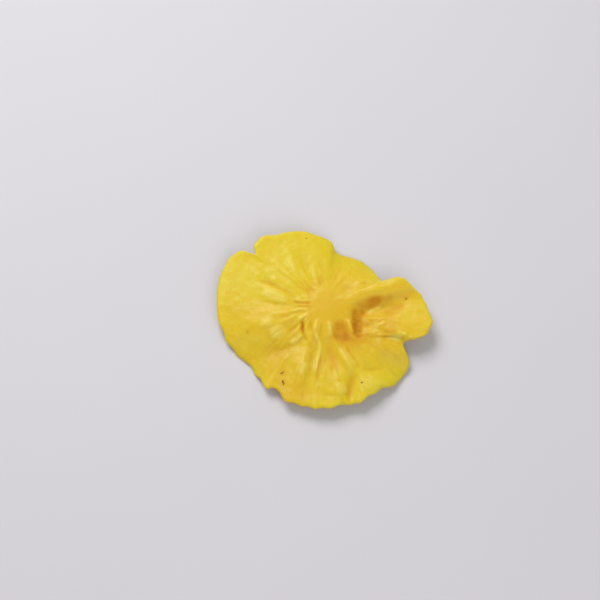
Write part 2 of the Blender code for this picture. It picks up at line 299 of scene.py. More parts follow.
@dataclass(frozen=True)
class Rim:
    """The slice's lobed rim, each point as degrees round from +X, reach and height."""

    points: tuple[tuple[float, float, float], ...] = (
        (334.6, 0.0379, 0.0052),
        (338.8, 0.0422, 0.0074),
        (345.0, 0.0469, 0.0078),
        (350.1, 0.0469, 0.0078),
        (358.2, 0.0442, 0.0080),
        (4.7, 0.0422, 0.0088),
        (11.2, 0.0388, 0.0098),
        (17.6, 0.0354, 0.0102),
        (19.6, 0.0338, 0.0100),
        (20.6, 0.0302, 0.0086),
        (22.4, 0.0274, 0.0062),
        (36.0, 0.0272, 0.0030),
        (48.1, 0.0274, 0.0010),
        (67.0, 0.0258, 0.0009),
        (75.5, 0.0255, 0.0026),
        (82.5, 0.0295, 0.0044),
        (93.0, 0.0315, 0.0056),
        (108.0, 0.0349, 0.0066),
        (122.0, 0.0368, 0.0072),
        (130.0, 0.0396, 0.0076),
        (136.5, 0.0393, 0.0078),
        (141.8, 0.0363, 0.0074),
        (144.4, 0.0418, 0.0068),
        (153.0, 0.0446, 0.0058),
        (163.1, 0.0450, 0.0052),
        (178.1, 0.0444, 0.0050),
        (190.0, 0.0436, 0.0042),
        (200.1, 0.0426, 0.0028),
        (211.0, 0.0406, 0.0008),
        (222.0, 0.0394, 0.0008),
        (232.1, 0.0409, 0.0028),
        (236.6, 0.0427, 0.0038),
        (240.6, 0.0412, 0.0042),
        (250.4, 0.0437, 0.0050),
        (263.2, 0.0449, 0.0056),
        (274.8, 0.0447, 0.0060),
        (283.8, 0.0444, 0.0050),
        (291.4, 0.0449, 0.0058),
        (298.4, 0.0442, 0.0052),
        (304.5, 0.0442, 0.0042),
        (311.9, 0.0450, 0.0022),
        (319.5, 0.0454, 0.0011),
        (327.0, 0.0435, 0.0032),
    )
    waves: tuple[tuple[int, float], ...] = ((17, 0.00022), (29, 0.00020), (43, 0.00014))
    golden_angle: float = 2.399963
    smooth_side: float = 95.0
    smooth_share: float = 0.8
    smooth_extent: float = 0.9
    smooth_nicks: float = 0.5
    nick: float = 0.00030
    nicks: int = 150
    seed: int = 5

    def _around(self, degrees: Array, column: int) -> Array:
        """One column of the points at each angle, on a closed curve with no overshoot."""
        knots = sorted(self.points)
        at = np.array([knot[0] for knot in knots])
        value = np.array([knot[column] for knot in knots])
        gap = np.diff(np.append(at, at[0] + 360.0))
        slope = np.diff(np.append(value, value[0])) / gap
        before = np.roll(slope, 1)
        same_way = before * slope > 0
        total = np.where(same_way, before + slope, 1.0)
        lean = np.where(same_way, 2.0 * before * slope / total, 0.0)
        turned = (np.asarray(degrees) - at[0]) % 360.0
        place = np.searchsorted(at - at[0], turned, side="right") - 1
        following = (place + 1) % len(at)
        run = gap[place]
        t = (turned - (at - at[0])[place]) / run
        return (
            value[place] * (1 + 2 * t) * (1 - t) ** 2
            + lean[place] * run * t * (1 - t) ** 2
            + value[following] * t**2 * (3 - 2 * t)
            + lean[following] * run * t**2 * (t - 1)
        )

    def reach(self, degrees: Array) -> Array:
        """The smooth rim's distance from the core's axis at each angle."""
        return self._around(degrees, 1)

    def height(self, degrees: Array) -> Array:
        """The rim's height above the table at each angle."""
        return self._around(degrees, 2)

    def torn(self, degrees: Array) -> Array:
        """How far the rim's scallops and nicks stand out from the smooth rim at each angle."""
        turn = np.radians(degrees)
        scallops = sum(
            height * np.sin(waves * turn + self.golden_angle * waves)
            for waves, height in self.waves
        )
        calm = smooth(0.5 + self.smooth_extent * np.cos(turn - math.radians(self.smooth_side)))
        chips = Unevenness(self.nicks, self.seed).at(degrees / 360.0 * self.nicks, 0.0 * degrees)
        nicks = (1.0 - self.smooth_nicks * calm) * self.nick * chips
        return (1.0 - self.smooth_share * calm) * scallops + nicks


# The broad folds, which the solid has too. Their places, and those of the pleats after them, were
# read from the photograph and then turned into metres on the plan of the slice.
FOLDS: dict[str, Relief] = {
    "right ridge": Fold(
        ((0.0040, 0.0022), (0.0147, 0.0034), (0.0244, 0.0050), (0.0440, 0.0110)),
        0.0021, 0.0036, 1.4, 0.45, 2.8,
    ),
    "ridge shoulder": Fold(((0.0090, 0.0080), (0.0290, 0.0124)), 0.0016, 0.0046, 1.0, 0.45),
    "right valley": Fold(
        ((0.0146, -0.0190), (0.0158, -0.0090), (0.0182, -0.0026), (0.0270, -0.0006), (0.0420, 0.0036)),
        -0.0021, 0.0032, 1.1, 0.5,
    ),
    "valley floor": Fold(
        ((0.0190, -0.0140), (0.0200, -0.0050), (0.0320, -0.0010)),
        -0.0009, 0.0050, 1.0, 0.5,
    ),
    "right lobe": Fold(((0.0200, -0.0080), (0.0540, -0.0060)), 0.0006, 0.0070),
    "right flap": Fold(
        ((0.0190, -0.0180), (0.0270, -0.0190), (0.0400, -0.0200)),
        0.0012, 0.0042, 1.0, 0.3,
    ),
    "skirt hollow": Fold(
        ((-0.0140, -0.0180), (0.0020, -0.0210), (0.0190, -0.0190)),
        -0.0018, 0.0060, 1.0, 0.5,
    ),
    "lower right ridge": Fold(
        ((0.0046, -0.0130), (0.0086, -0.0220), (0.0176, -0.0340)),
        0.0013, 0.0018, 1.6, 0.5,
    ),
    "lower left ridge": Fold(
        ((-0.0030, -0.0150), (-0.0074, -0.0260), (-0.0126, -0.0400)),
        0.0012, 0.0018, 1.8, 0.5,
    ),
    "lower valley": Fold(
        ((0.0120, -0.0200), (0.0128, -0.0300), (0.0110, -0.0500)),
        -0.0012, 0.0024, 1.3, 0.5,
    ),
    "bottom swell": Fold(((0.0060, -0.0270), (0.0096, -0.0480)), 0.0010, 0.0030),
    "corner swell": Fold(
        ((0.0110, -0.0420), (0.0230, -0.0350), (0.0340, -0.0270)),
        0.0009, 0.0042, 1.0, 0.5,
    ),
    "left cushion": Fold(
        ((-0.0060, -0.0030), (-0.0200, -0.0070), (-0.0400, -0.0100)),
        0.0012, 0.0040, 2.0, 0.5,
    ),
    "left hollow": Fold(
        ((-0.0060, -0.0144), (-0.0160, -0.0198), (-0.0320, -0.0226)),
        -0.0008, 0.0018, 2.0, 0.5,
    ),
    "left ridge": Fold(
        ((-0.0060, 0.0010), (-0.0160, 0.0050), (-0.0300, 0.0096)),
        0.0009, 0.0016, 2.2, 0.5,
    ),
    "left groove": Fold(((-0.0070, 0.0036), (-0.0300, 0.0136)), -0.0006, 0.0014, 2.0, 0.5),
    "upper left ridge": Fold(
        ((-0.0054, 0.0044), (-0.0130, 0.0120), (-0.0240, 0.0200)),
        0.0007, 0.0014, 2.4, 0.5,
    ),
    "upper ridge": Fold(
        ((-0.0040, 0.0066), (-0.0100, 0.0170), (-0.0180, 0.0290)),
        0.0006, 0.0013, 2.2, 0.5,
    ),
    "upper groove": Fold(((-0.0026, 0.0070), (-0.0110, 0.0260)), -0.0004, 0.0013, 2.0, 0.5),
    "right lip": Lip(
        ((0.0150, -0.0142), (0.0240, -0.0139), (0.0306, -0.0138), (0.0340, -0.0152), (0.0370, -0.0190)),
        0.0013, 0.0005, 0.0040, 0.7,
    ),
}

# What the flesh has beyond the solid, by region: each height and tint was judged from the shading.
# A tint below 0 is painted shade, where shade falls in hollows, creases and under ridges and folds, and
# a tint above 0 is a painted highlight; only the eye pits' brown tints are the flesh's own colour.
PLEATS: dict[str, Relief] = {
    "core nub": Spot((-0.0027, 0.0070), 0.0007, 0.0008, tint=1.0),
    "core dimple": Spot((0.0034, 0.0002), -0.0002, 0.0006, tint=-0.3),
    "first near pleat": Fold(
        ((-0.0118, 0.0019), (-0.0084, 0.0030), (-0.0042, 0.0034)),
        0.0008, 0.0008, fade=0.3, tint=0.6,
    ),
    "second near pleat": Fold(
        ((-0.0126, 0.0011), (-0.0092, 0.0016), (-0.0046, 0.0016)),
        0.0006, 0.0006, fade=0.3, tint=0.5,
    ),
    "third near pleat": Fold(
        ((-0.0134, -0.0032), (-0.0097, -0.0024), (-0.0050, -0.0022)),
        0.0008, 0.0008, fade=0.3, tint=0.8,
    ),
    "fourth near pleat": Fold(
        ((-0.0109, -0.0070), (-0.0080, -0.0055), (-0.0046, -0.0039)),
        0.0012, 0.0011, fade=0.25, tint=1.0,
    ),
    "first near groove": Fold(
        ((-0.0122, 0.0004), (-0.0084, 0.0004), (-0.0042, 0.0001)),
        -0.0007, 0.0006, fade=0.25, tint=-0.55,
    ),
    "second near groove": Fold(
        ((-0.0080, 0.0060), (-0.0059, 0.0062), (-0.0038, 0.0063)), -0.0002, 0.0007, tint=-0.2,
    ),
    "third near groove": Fold(((-0.0097, 0.0020), (-0.0130, 0.0009)), -0.0003, 0.0009, tint=-0.6),
    "fourth near groove": Fold(
        ((-0.0109, -0.0010), (-0.0050, -0.0011)),
        -0.0005, 0.0006, tint=-0.5,
    ),
    "fifth near groove": Fold(((-0.0122, -0.0044), (-0.0063, -0.0033)), -0.0005, 0.0005, tint=-0.5),
    "deep crease": Crease(
        ((-0.0081, -0.0064), (-0.0082, -0.0115), (-0.0071, -0.0143), (-0.0063, -0.0168)),
        -0.0011, 0.0007, fade=0.2, tint=-0.6,
    ),
    "deep hollow": Fold(
        ((-0.0081, -0.0064), (-0.0082, -0.0093), (-0.0078, -0.0133)),
        -0.001, 0.0009, fade=0.3, tint=-0.8,
    ),
    "first drape": Fold(
        ((-0.0063, -0.0058), (-0.0067, -0.0118), (-0.0046, -0.0161), (-0.0034, -0.0197)),
        0.0009, 0.001, fade=0.3, tint=0.25,
    ),
    "first drape crease": Crease(
        ((-0.0046, -0.0063), (-0.0044, -0.0113), (-0.0027, -0.0155), (-0.0013, -0.0193)),
        -0.0012, 0.0008, fade=0.25, tint=-0.6,
    ),
    "second drape": Fold(
        ((-0.0013, -0.0063), (-0.0026, -0.0099), (-0.0030, -0.0128), (-0.0018, -0.0159), (-0.0004, -0.0193)),
        0.0014, 0.0012, fade=0.25, tint=0.75,
    ),
    "second drape crease": Crease(
        ((-0.0000, -0.0081), (-0.0004, -0.0117), (0.0004, -0.0159), (0.0017, -0.0195)),
        -0.0005, 0.0008, fade=0.3, tint=-0.3,
    ),
    "third drape": Fold(
        ((0.0033, -0.0068), (0.0035, -0.0112), (0.0038, -0.0151)),
        0.0013, 0.0014, spread=1.4, fade=0.3, tint=0.75,
    ),
    # The hollow's brown and its floor's are painted shade.
    "brown hollow": Fold(
        ((0.0067, -0.0059), (0.0063, -0.0091), (0.0059, -0.0125), (0.0056, -0.0164)),
        -0.001, 0.0017, spread=1.5, fade=0.3, tint=-0.8,
    ),
    "brown hollow floor": Fold(
        ((0.0071, -0.0059), (0.0088, -0.0091), (0.0101, -0.0125), (0.0113, -0.0160)),
        -0.0006, 0.0018, fade=0.3, tint=-0.85,
    ),
    "fourth drape": Fold(
        ((0.0105, -0.0057), (0.0117, -0.0089), (0.0126, -0.0114), (0.0133, -0.0138)),
        0.0014, 0.001, fade=0.25, tint=0.5,
    ),
    "side hollow": Fold(
        ((0.0147, 0.0019), (0.0137, -0.0031), (0.0141, -0.0073), (0.0155, -0.0141)),
        -0.001, 0.0014, tint=-0.6,
    ),
    "hem": Fold(
        ((0.0025, -0.0157), (0.0096, -0.0153), (0.0168, -0.0142)),
        -0.0002, 0.001, fade=0.5, tint=-0.4,
    ),
    "hem shade": Fold(
        ((0.0017, -0.0159), (0.0075, -0.0155), (0.0159, -0.0155), (0.0235, -0.0151)),
        0.0, 0.0026, tint=-0.8,
    ),
    "long ridge": Fold(
        ((-0.0004, -0.0159), (-0.0009, -0.0198), (-0.0018, -0.0251), (-0.0030, -0.0315)),
        0.0012, 0.0011, fade=0.2, tint=0.8,
    ),
    "long crease": Crease(
        ((-0.0000, -0.0197), (-0.0009, -0.0244), (-0.0020, -0.0298), (-0.0023, -0.0363)),
        -0.0009, 0.0005, fade=0.25, tint=-0.8,
    ),
    "long groove": Fold(
        ((-0.0038, -0.0181), (-0.0042, -0.0223), (-0.0046, -0.0272), (-0.0046, -0.0337)),
        -0.0005, 0.001, fade=0.3, tint=-0.35,
    ),
    "left wedge": Fold(
        ((-0.0076, -0.0176), (-0.0092, -0.0225), (-0.0113, -0.0285)),
        0.0009, 0.003, fade=0.3, crown=3.0, tint=0.15,
    ),
    "left wedge shine": Fold(
        ((-0.0063, -0.0240), (-0.0084, -0.0276), (-0.0105, -0.0312)),
        0.0002, 0.0019, fade=0.3, crown=3.0, tint=0.9,
    ),
    "right wedge": Fold(
        ((0.0075, -0.0181), (0.0108, -0.0236), (0.0146, -0.0281)),
        0.0009, 0.0024, fade=0.25, crown=3.0, tint=0.6,
    ),
    "right wedge groove": Fold(
        ((0.0092, -0.0176), (0.0134, -0.0232), (0.0167, -0.0284)),
        -0.0005, 0.0008, fade=0.25, tint=-0.5,
    ),
    "streaky hollow": Fold(
        ((0.0127, -0.0278), (0.0127, -0.0316), (0.0117, -0.0359), (0.0109, -0.0394), (0.0109, -0.0434)),
        -0.0007, 0.0015, crown=2.5, tint=-0.5,
    ),
    "blob": Fold(
        ((0.0066, -0.0334), (0.0083, -0.0370), (0.0091, -0.0397)),
        0.001, 0.0026, crown=3.0, tint=0.7,
    ),
    "blob groove": Fold(
        ((-0.0013, -0.0350), (0.0014, -0.0386), (0.0052, -0.0398), (0.0074, -0.0428)),
        -0.0004, 0.0012, tint=-0.4,
    ),
    "bottom band": Fold(
        ((-0.0101, -0.0392), (-0.0038, -0.0419), (0.0024, -0.0428)),
        0.0004, 0.0022, crown=3.0, tint=0.25,
    ),
    "corner blob": Fold(
        ((0.0142, -0.0330), (0.0192, -0.0338), (0.0268, -0.0310)),
        0.0008, 0.0034, crown=3.0, tint=0.35,
    ),
    "corner groove": Fold(
        ((0.0142, -0.0277), (0.0209, -0.0280), (0.0276, -0.0265)), -0.0005, 0.0013, tint=-0.4,
    ),
    "left wedge ridge": Fold(
        ((-0.0265, 0.0060), (-0.0227, 0.0045), (-0.0185, 0.0028), (-0.0134, 0.0011)),
        0.0009, 0.0018, fade=0.25, crown=2.5, tint=0.9,
    ),
    "wedge lower groove": Fold(
        ((-0.0257, 0.0017), (-0.0185, 0.0002), (-0.0118, -0.0004)), -0.0004, 0.0009, tint=-0.5,
    ),
    "wedge upper groove": Fold(
        ((-0.0282, 0.0110), (-0.0219, 0.0094), (-0.0160, 0.0062), (-0.0097, 0.0029)),
        -0.0005, 0.0012, fade=0.25, tint=-0.7,
    ),
    "upper wedge": Fold(
        ((-0.0244, 0.0136), (-0.0198, 0.0107), (-0.0143, 0.0084), (-0.0088, 0.0053)),
        0.0007, 0.0021, fade=0.3, crown=2.5, tint=0.35,
    ),
    "upper streak": Fold(
        ((-0.0152, 0.0210), (-0.0130, 0.0177), (-0.0105, 0.0128)),
        0.0005, 0.001, fade=0.3, tint=0.7,
    ),
    "upper streak groove": Fold(
        ((-0.0126, 0.0223), (-0.0101, 0.0173), (-0.0076, 0.0119)), -0.0004, 0.0008, tint=-0.2,
    ),
    # Painted highlights on two patches at the upper left.
    "pale patch": Fold(
        ((-0.0240, 0.0210), (-0.0215, 0.0196), (-0.0194, 0.0178)),
        0.0003, 0.0014, tint=0.5,
    ),
    "mottled patch": Fold(
        ((-0.0304, 0.0181), (-0.0287, 0.0150), (-0.0253, 0.0123)), 0.0002, 0.0014, tint=0.4,
    ),
    "side band": Fold(
        ((-0.0286, -0.0029), (-0.0218, -0.0030), (-0.0143, -0.0017)),
        0.0004, 0.0014, fade=0.3, tint=0.1,
    ),
    "thin pleat": Fold(
        ((-0.0223, -0.0046), (-0.0176, -0.0038), (-0.0118, -0.0032)), 0.0004, 0.0007, tint=0.4,
    ),
    "lower thin groove": Fold(((-0.0193, -0.0057), (-0.0118, -0.0054)), -0.0003, 0.0006, tint=-0.4),
    "first gloss": Fold(
        ((-0.0277, -0.0089), (-0.0235, -0.0081), (-0.0193, -0.0075)),
        0.0005, 0.0016, crown=2.5, tint=0.85,
    ),
    "second gloss": Fold(
        ((-0.0227, -0.0145), (-0.0189, -0.0119), (-0.0147, -0.0089)),
        0.0006, 0.0028, crown=2.5, tint=0.9,
    ),
    "third gloss": Fold(
        ((-0.0344, -0.0138), (-0.0277, -0.0141), (-0.0218, -0.0136)), 0.0003, 0.002, tint=0.4,
    ),
    "gloss groove": Fold(
        ((-0.0269, -0.0112), (-0.0218, -0.0103), (-0.0172, -0.0080)), -0.0003, 0.0006, tint=-0.2,
    ),
    "gloss dip": Fold(
        ((-0.0151, -0.0125), (-0.0126, -0.0108), (-0.0092, -0.0078)), -0.0005, 0.0013, tint=-0.7,
    ),
    "ledge ridge": Fold(
        ((-0.0139, -0.0171), (-0.0113, -0.0159), (-0.0080, -0.0131)),
        0.0012, 0.0009, fade=0.2, tint=0.9,
    ),
    "ledge groove": Fold(
        ((-0.0252, -0.0186), (-0.0168, -0.0189), (-0.0109, -0.0176), (-0.0067, -0.0146)),
        -0.0005, 0.0013, tint=-0.15,
    ),
    "short streak": Fold(
        ((-0.0080, 0.0189), (-0.0059, 0.0148), (-0.0042, 0.0102)),
        0.0004, 0.0008, tint=0.1,
    ),
    "upper line": Fold(
        ((-0.0012, 0.0218), (-0.0006, 0.0153), (-0.0004, 0.0084)),
        -0.0003, 0.0012, tint=-0.5,
    ),
    "upper shade": Fold(
        ((0.0069, 0.0209), (0.0055, 0.0148), (0.0038, 0.0080)),
        -0.0004, 0.002, tint=-0.3,
    ),
    "corner shade": Fold(
        ((-0.0101, 0.0101), (-0.0067, 0.0075), (-0.0042, 0.0057)), -0.0002, 0.0016, tint=-0.25,
    ),
    "short ridge": Fold(
        ((0.0059, 0.0061), (0.0097, 0.0090), (0.0140, 0.0119)),
        0.0004, 0.0009, tint=0.3,
    ),
    "dent": Spot((0.0177, 0.0089), -0.0004, 0.0015, tint=-0.5),
    "dent rim": Fold(
        ((0.0126, 0.0066), (0.0152, 0.0095), (0.0177, 0.0107), (0.0211, 0.0100), (0.0231, 0.0068)),
        0.0004, 0.0007, tint=0.3,
    ),
    "notch dot": Spot((0.0243, 0.0104), 0.0006, 0.0006, tint=0.8),
    "ridge shine": Fold(
        ((0.0101, 0.0043), (0.0160, 0.0054), (0.0252, 0.0068)),
        0.0001, 0.002, tint=0.3,
    ),
    "ridge shade": Fold(
        ((0.0177, 0.0011), (0.0236, 0.0020), (0.0316, 0.0031)), 0.0, 0.002, fade=0.25, tint=-0.6,
    ),
    "valley shade": Fold(
        ((0.0147, -0.0007), (0.0147, -0.0056), (0.0147, -0.0099), (0.0149, -0.0141)),
        0.0, 0.0024, fade=0.2, crown=4.0, tint=-0.75,
    ),
    "valley bump": Spot((0.0253, 0.0009), 0.0009, 0.001, tint=0.9),
    "first fan ridge": Fold(
        ((0.0185, -0.0040), (0.0219, -0.0018), (0.0261, 0.0005)), 0.0009, 0.001, fade=0.3, tint=0.5,
    ),
    "second fan ridge": Fold(
        ((0.0168, -0.0052), (0.0210, -0.0057), (0.0261, -0.0051)), 0.0007, 0.0007, tint=0.35,
    ),
    "third fan ridge": Fold(
        ((0.0201, -0.0107), (0.0231, -0.0090), (0.0281, -0.0072)),
        0.0009, 0.0011, fade=0.3, tint=0.6,
    ),
    "first fan dip": Spot((0.0177, -0.0032), -0.0007, 0.0012, tint=-0.6),
    "fan groove": Fold(
        ((0.0164, -0.0086), (0.0189, -0.0089), (0.0214, -0.0075), (0.0260, -0.0072)),
        -0.0007, 0.001, fade=0.3, tint=-0.3,
    ),
    "lobe crease": Crease(
        ((0.0265, -0.0019), (0.0324, -0.0007), (0.0366, 0.0010)), -0.0002, 0.0009, tint=-0.3,
    ),
    "lobe shade": Fold(
        ((0.0235, -0.0126), (0.0285, -0.0122), (0.0335, -0.0117)),
        0.0, 0.0022, tint=-0.55,
    ),
    "first nub": Fold(((0.0346, -0.0119), (0.0345, -0.0151)), 0.0015, 0.0009, tint=0.9),
    "second nub": Fold(((0.0362, -0.0147), (0.0387, -0.0153)), 0.0009, 0.0006, tint=0.7),
    "lobe border": Crease(
        ((0.0138, -0.0143), (0.0178, -0.0134), (0.0210, -0.0134), (0.0243, -0.0136)),
        -0.0004, 0.0004, fade=0.2, tint=-0.8,
    ),
    "fan shade": Fold(
        ((0.0147, -0.0030), (0.0156, -0.0072), (0.0164, -0.0119)), 0.0, 0.0026, fade=0.3, tint=-0.7,
    ),
    "first eye pit": Spot((-0.0166, -0.0294), -0.0003, 0.0009, tint=-0.7),
    "second eye pit": Spot((-0.0161, -0.0338), -0.0003, 0.001, tint=-0.7),
    "third eye pit": Spot((0.0169, -0.0339), -0.0002, 0.0007, tint=-0.6),
    "fourth eye pit": Spot((0.0354, 0.0025), -0.0003, 0.0009, tint=-0.4),
    "fifth eye pit": Spot((-0.0312, -0.0116), -0.0002, 0.0014, tint=-0.5),
    "sixth eye pit": Spot((-0.0065, 0.0297), -0.0001, 0.0008, tint=-0.5),
    # Painted shade where the valley opens under the ridge.
    "valley mouth": Fold(
        ((0.0130, -0.0009), (0.0177, 0.0000), (0.0223, 0.0013), (0.0269, 0.0026)),
        0.0, 0.0024, fade=0.25, crown=3.0, tint=-0.72,
    ),
    "valley corner": Fold(
        ((0.0141, -0.0069), (0.0149, -0.0099), (0.0153, -0.0132)),
        -0.0009, 0.0015, fade=0.3, tint=-0.9,
    ),
    "lobe slope shade": Fold(
        ((0.0244, -0.0054), (0.0294, -0.0031), (0.0345, -0.0013), (0.0379, 0.0005)),
        0.0, 0.0028, fade=0.3, crown=2.5, tint=-0.5,
    ),
    "lobe dip": Fold(
        ((0.0240, -0.0048), (0.0294, -0.0026), (0.0353, -0.0003)),
        -0.0003, 0.002, fade=0.3, tint=-0.2,
    ),
    "valley corner dark": Spot((0.0147, -0.0128), -0.0005, 0.0016, tint=-0.9),
    "third fan blob": Fold(
        ((0.0205, -0.0116), (0.0247, -0.0107)),
        0.0003, 0.0013, crown=3.0, tint=0.45,
    ),
    "fan hollow": Fold(
        ((0.0177, -0.0064), (0.0189, -0.0082), (0.0227, -0.0076)),
        -0.0003, 0.0016, fade=0.3, tint=-0.25,
    ),
    "core shade": Fold(
        ((0.0051, 0.0056), (0.0093, 0.0076), (0.0152, 0.0103)),
        -0.0001, 0.0032, tint=-0.45,
    ),
    # A low swell with painted light on the left flank.
    "left flank": Fold(
        ((-0.0378, -0.0103), (-0.0345, -0.0166), (-0.0302, -0.0219)), 0.0005, 0.003, tint=0.35,
    ),
    # Painted light brightening the flap's corner.
    "flap corner": Fold(
        ((0.0243, -0.0207), (0.0285, -0.0244), (0.0310, -0.0292)), 0.0, 0.004, fade=0.3, tint=0.2,
    ),
    "core rim shade": Fold(
        ((-0.0046, 0.0020), (-0.0042, 0.0055), (-0.0021, 0.0084), (0.0021, 0.0098)),
        0.0, 0.0022, fade=0.3, tint=-0.5,
    ),
    "skirt shade": Fold(
        ((0.0021, -0.0171), (0.0033, -0.0230), (0.0050, -0.0303)),
        0.0, 0.0028, fade=0.25, tint=-0.4,
    ),
    "low left shade": Fold(
        ((-0.0252, -0.0170), (-0.0193, -0.0246), (-0.0134, -0.0344)), 0.0, 0.005, tint=-0.25,
    ),
    # A painted highlight over the fan ridges.
    "fan field": Fold(
        ((0.0194, -0.0036), (0.0227, -0.0032), (0.0261, -0.0018)),
        0.0002, 0.002, crown=3.0, tint=0.25,
    ),
    "small patch": Fold(((-0.0219, 0.0126), (-0.0194, 0.0107)), 0.0002, 0.0012, tint=0.35),
    # Painted light where the lobe's border casts its shadow.
    "lobe foot glow": Fold(
        ((0.0260, -0.0142), (0.0302, -0.0143), (0.0343, -0.0147)), 0.0, 0.0014, fade=0.3, tint=1.0,
    ),
    "lobe mid shade": Fold(
        ((0.0235, -0.0062), (0.0285, -0.0084), (0.0335, -0.0089)),
        0.0, 0.004, tint=-0.35,
    ),
    "core left shade": Fold(
        ((-0.0036, 0.0052), (-0.0050, 0.0016), (-0.0053, -0.0037), (-0.0042, -0.0091)),
        0.0, 0.0018, fade=0.3, tint=-0.5,
    ),
    "top shade": Fold(
        ((-0.0080, 0.0252), (-0.0063, 0.0198), (-0.0042, 0.0143)),
        0.0, 0.0018, tint=-0.3,
    ),
    "hollow middle": Fold(
        ((0.0075, -0.0083), (0.0082, -0.0116), (0.0086, -0.0159)),
        -0.0006, 0.0024, fade=0.3, tint=-0.4,
    ),
    "nub shade": Fold(((-0.0012, 0.0135), (-0.0008, 0.0074)), 0.0, 0.0014, fade=0.3, tint=-0.25),
    "low ridge shade": Fold(
        ((0.0004, -0.0213), (-0.0005, -0.0276), (-0.0013, -0.0346)),
        0.0, 0.0016, fade=0.3, tint=-0.45,
    ),
    "skirt middle shade": Fold(
        ((0.0038, -0.0204), (0.0054, -0.0257), (0.0066, -0.0303)),
        0.0, 0.0026, fade=0.3, tint=-0.25,
    ),
    # Painted light along the lower right rim.
    "corner rim glow": Fold(
        ((0.0166, -0.0402), (0.0263, -0.0354), (0.0335, -0.0269)), 0.0, 0.0034, fade=0.3, tint=0.25,
    ),
    "flap upper shade": Fold(
        ((0.0075, -0.0181), (0.0121, -0.0187), (0.0184, -0.0181)), 0.0, 0.003, fade=0.3, tint=-0.3,
    ),
}


@dataclass(frozen=True)
class Gathers:
    """Small uneven pleats that radiate from the core, strongest to the lower left of it."""

    count: int = 29
    height: float = 0.00032
    start: float = 0.0058
    peak: float = 0.0105
    fade: float = 0.0070
    strong_side: float = 200.0
    even_share: float = 0.6
    lean: float = 6.0
    bends: tuple[tuple[int, float, int], ...] = ((5, 0.05, 1), (11, 0.03, 2))

    def lift(self, distance: Array, degrees: Array, turned: float) -> Array:
        """How far the gathers raise each point; turned sets them differently on each face."""
        turn = np.radians(degrees)
        bent = turn
        for waves, size, times in self.bends:
            bent = bent + size * np.sin(waves * turn + times * turned)
        bent = bent + self.lean * (distance - self.start) * np.sin(3 * turn + turned)
        side = np.cos(turn - math.radians(self.strong_side))
        strength = self.even_share + (1.0 - self.even_share) * side
        rise = smooth((distance - self.start) / (self.peak - self.start))
        fall = np.exp(-((np.maximum(distance - self.peak, 0.0) / self.fade) ** 2))
        return self.height * strength * rise * fall * np.sin(self.count * bent + turned)


@dataclass(frozen=True)
class Wrinkles:
    """Fine radial pleats and small dents that drying left all over the flesh."""

    pleats: tuple[tuple[int, float, float, float], ...] = (
        (46, 0.0090, 0.0180, 0.00020),
        (88, 0.0160, 0.0300, 0.00006),
        (150, 0.0240, 0.0480, 0.00003),
    )
    calm_side: float = 120.0
    calm_share: float = 0.85
    pleat_length: float = 0.0120
    wander: float = 1.4
    wanders: int = 12
    patches: int = 9
    patch_length: float = 0.0100
    patch_level: float = 0.55
    patch_contrast: float = 1.1
    dent_size: float = 0.0021
    dent_depth: float = 0.00016
    smaller_dents: float = 1.9
    dent_cells: tuple[int, int] = (97, 89)
    seed: int = 11

    def lift(self, x: Array, y: Array, distance: Array, degrees: Array, face: Face) -> Array:
        """How far the wrinkles raise each point.

        Args:
            x: The points' places along +X.
            y: The points' places along +Y.
            distance: Their distances from the core's axis.
            degrees: Their angles round from +X.
            face: The face that they lie on, which sets which wrinkles it has.

        Returns:
            The rise at each point.
        """
        seed = self.seed + 10 * face.value
        share = degrees / 360.0
        across = distance / self.pleat_length
        bent = self.wander * Unevenness(self.wanders, seed).at(share * self.wanders, across)
        risen = np.zeros_like(distance)
        patches = Unevenness(self.patches, seed + 4).at(share * self.patches, distance / self.patch_length)
        calm = smooth(0.5 + np.cos(np.radians(degrees - self.calm_side)))
        patch = smooth(self.patch_level + self.patch_contrast * patches)
        patch = patch * (1.0 - self.calm_share * calm)
        for number, (count, start, peak, height) in enumerate(self.pleats):
            noise = Unevenness(count, seed + number).at(share * count + bent, across)
            strength = smooth((distance - start) / (peak - start) + 0.3)
            strength = strength * np.exp(-((np.maximum(distance - peak, 0.0) / (0.8 * peak)) ** 2))
            risen += height * strength * patch * (np.abs(noise) - 0.45)
        cells, finer_cells = self.dent_cells
        size, finer_size = self.dent_size, self.dent_size / self.smaller_dents
        dents = Unevenness(cells, seed + 7).at(x / size, y / size)
        smaller = Unevenness(finer_cells, seed + 8).at(x / finer_size, y / finer_size)
        return risen + self.dent_depth * (dents + 0.5 * smaller)


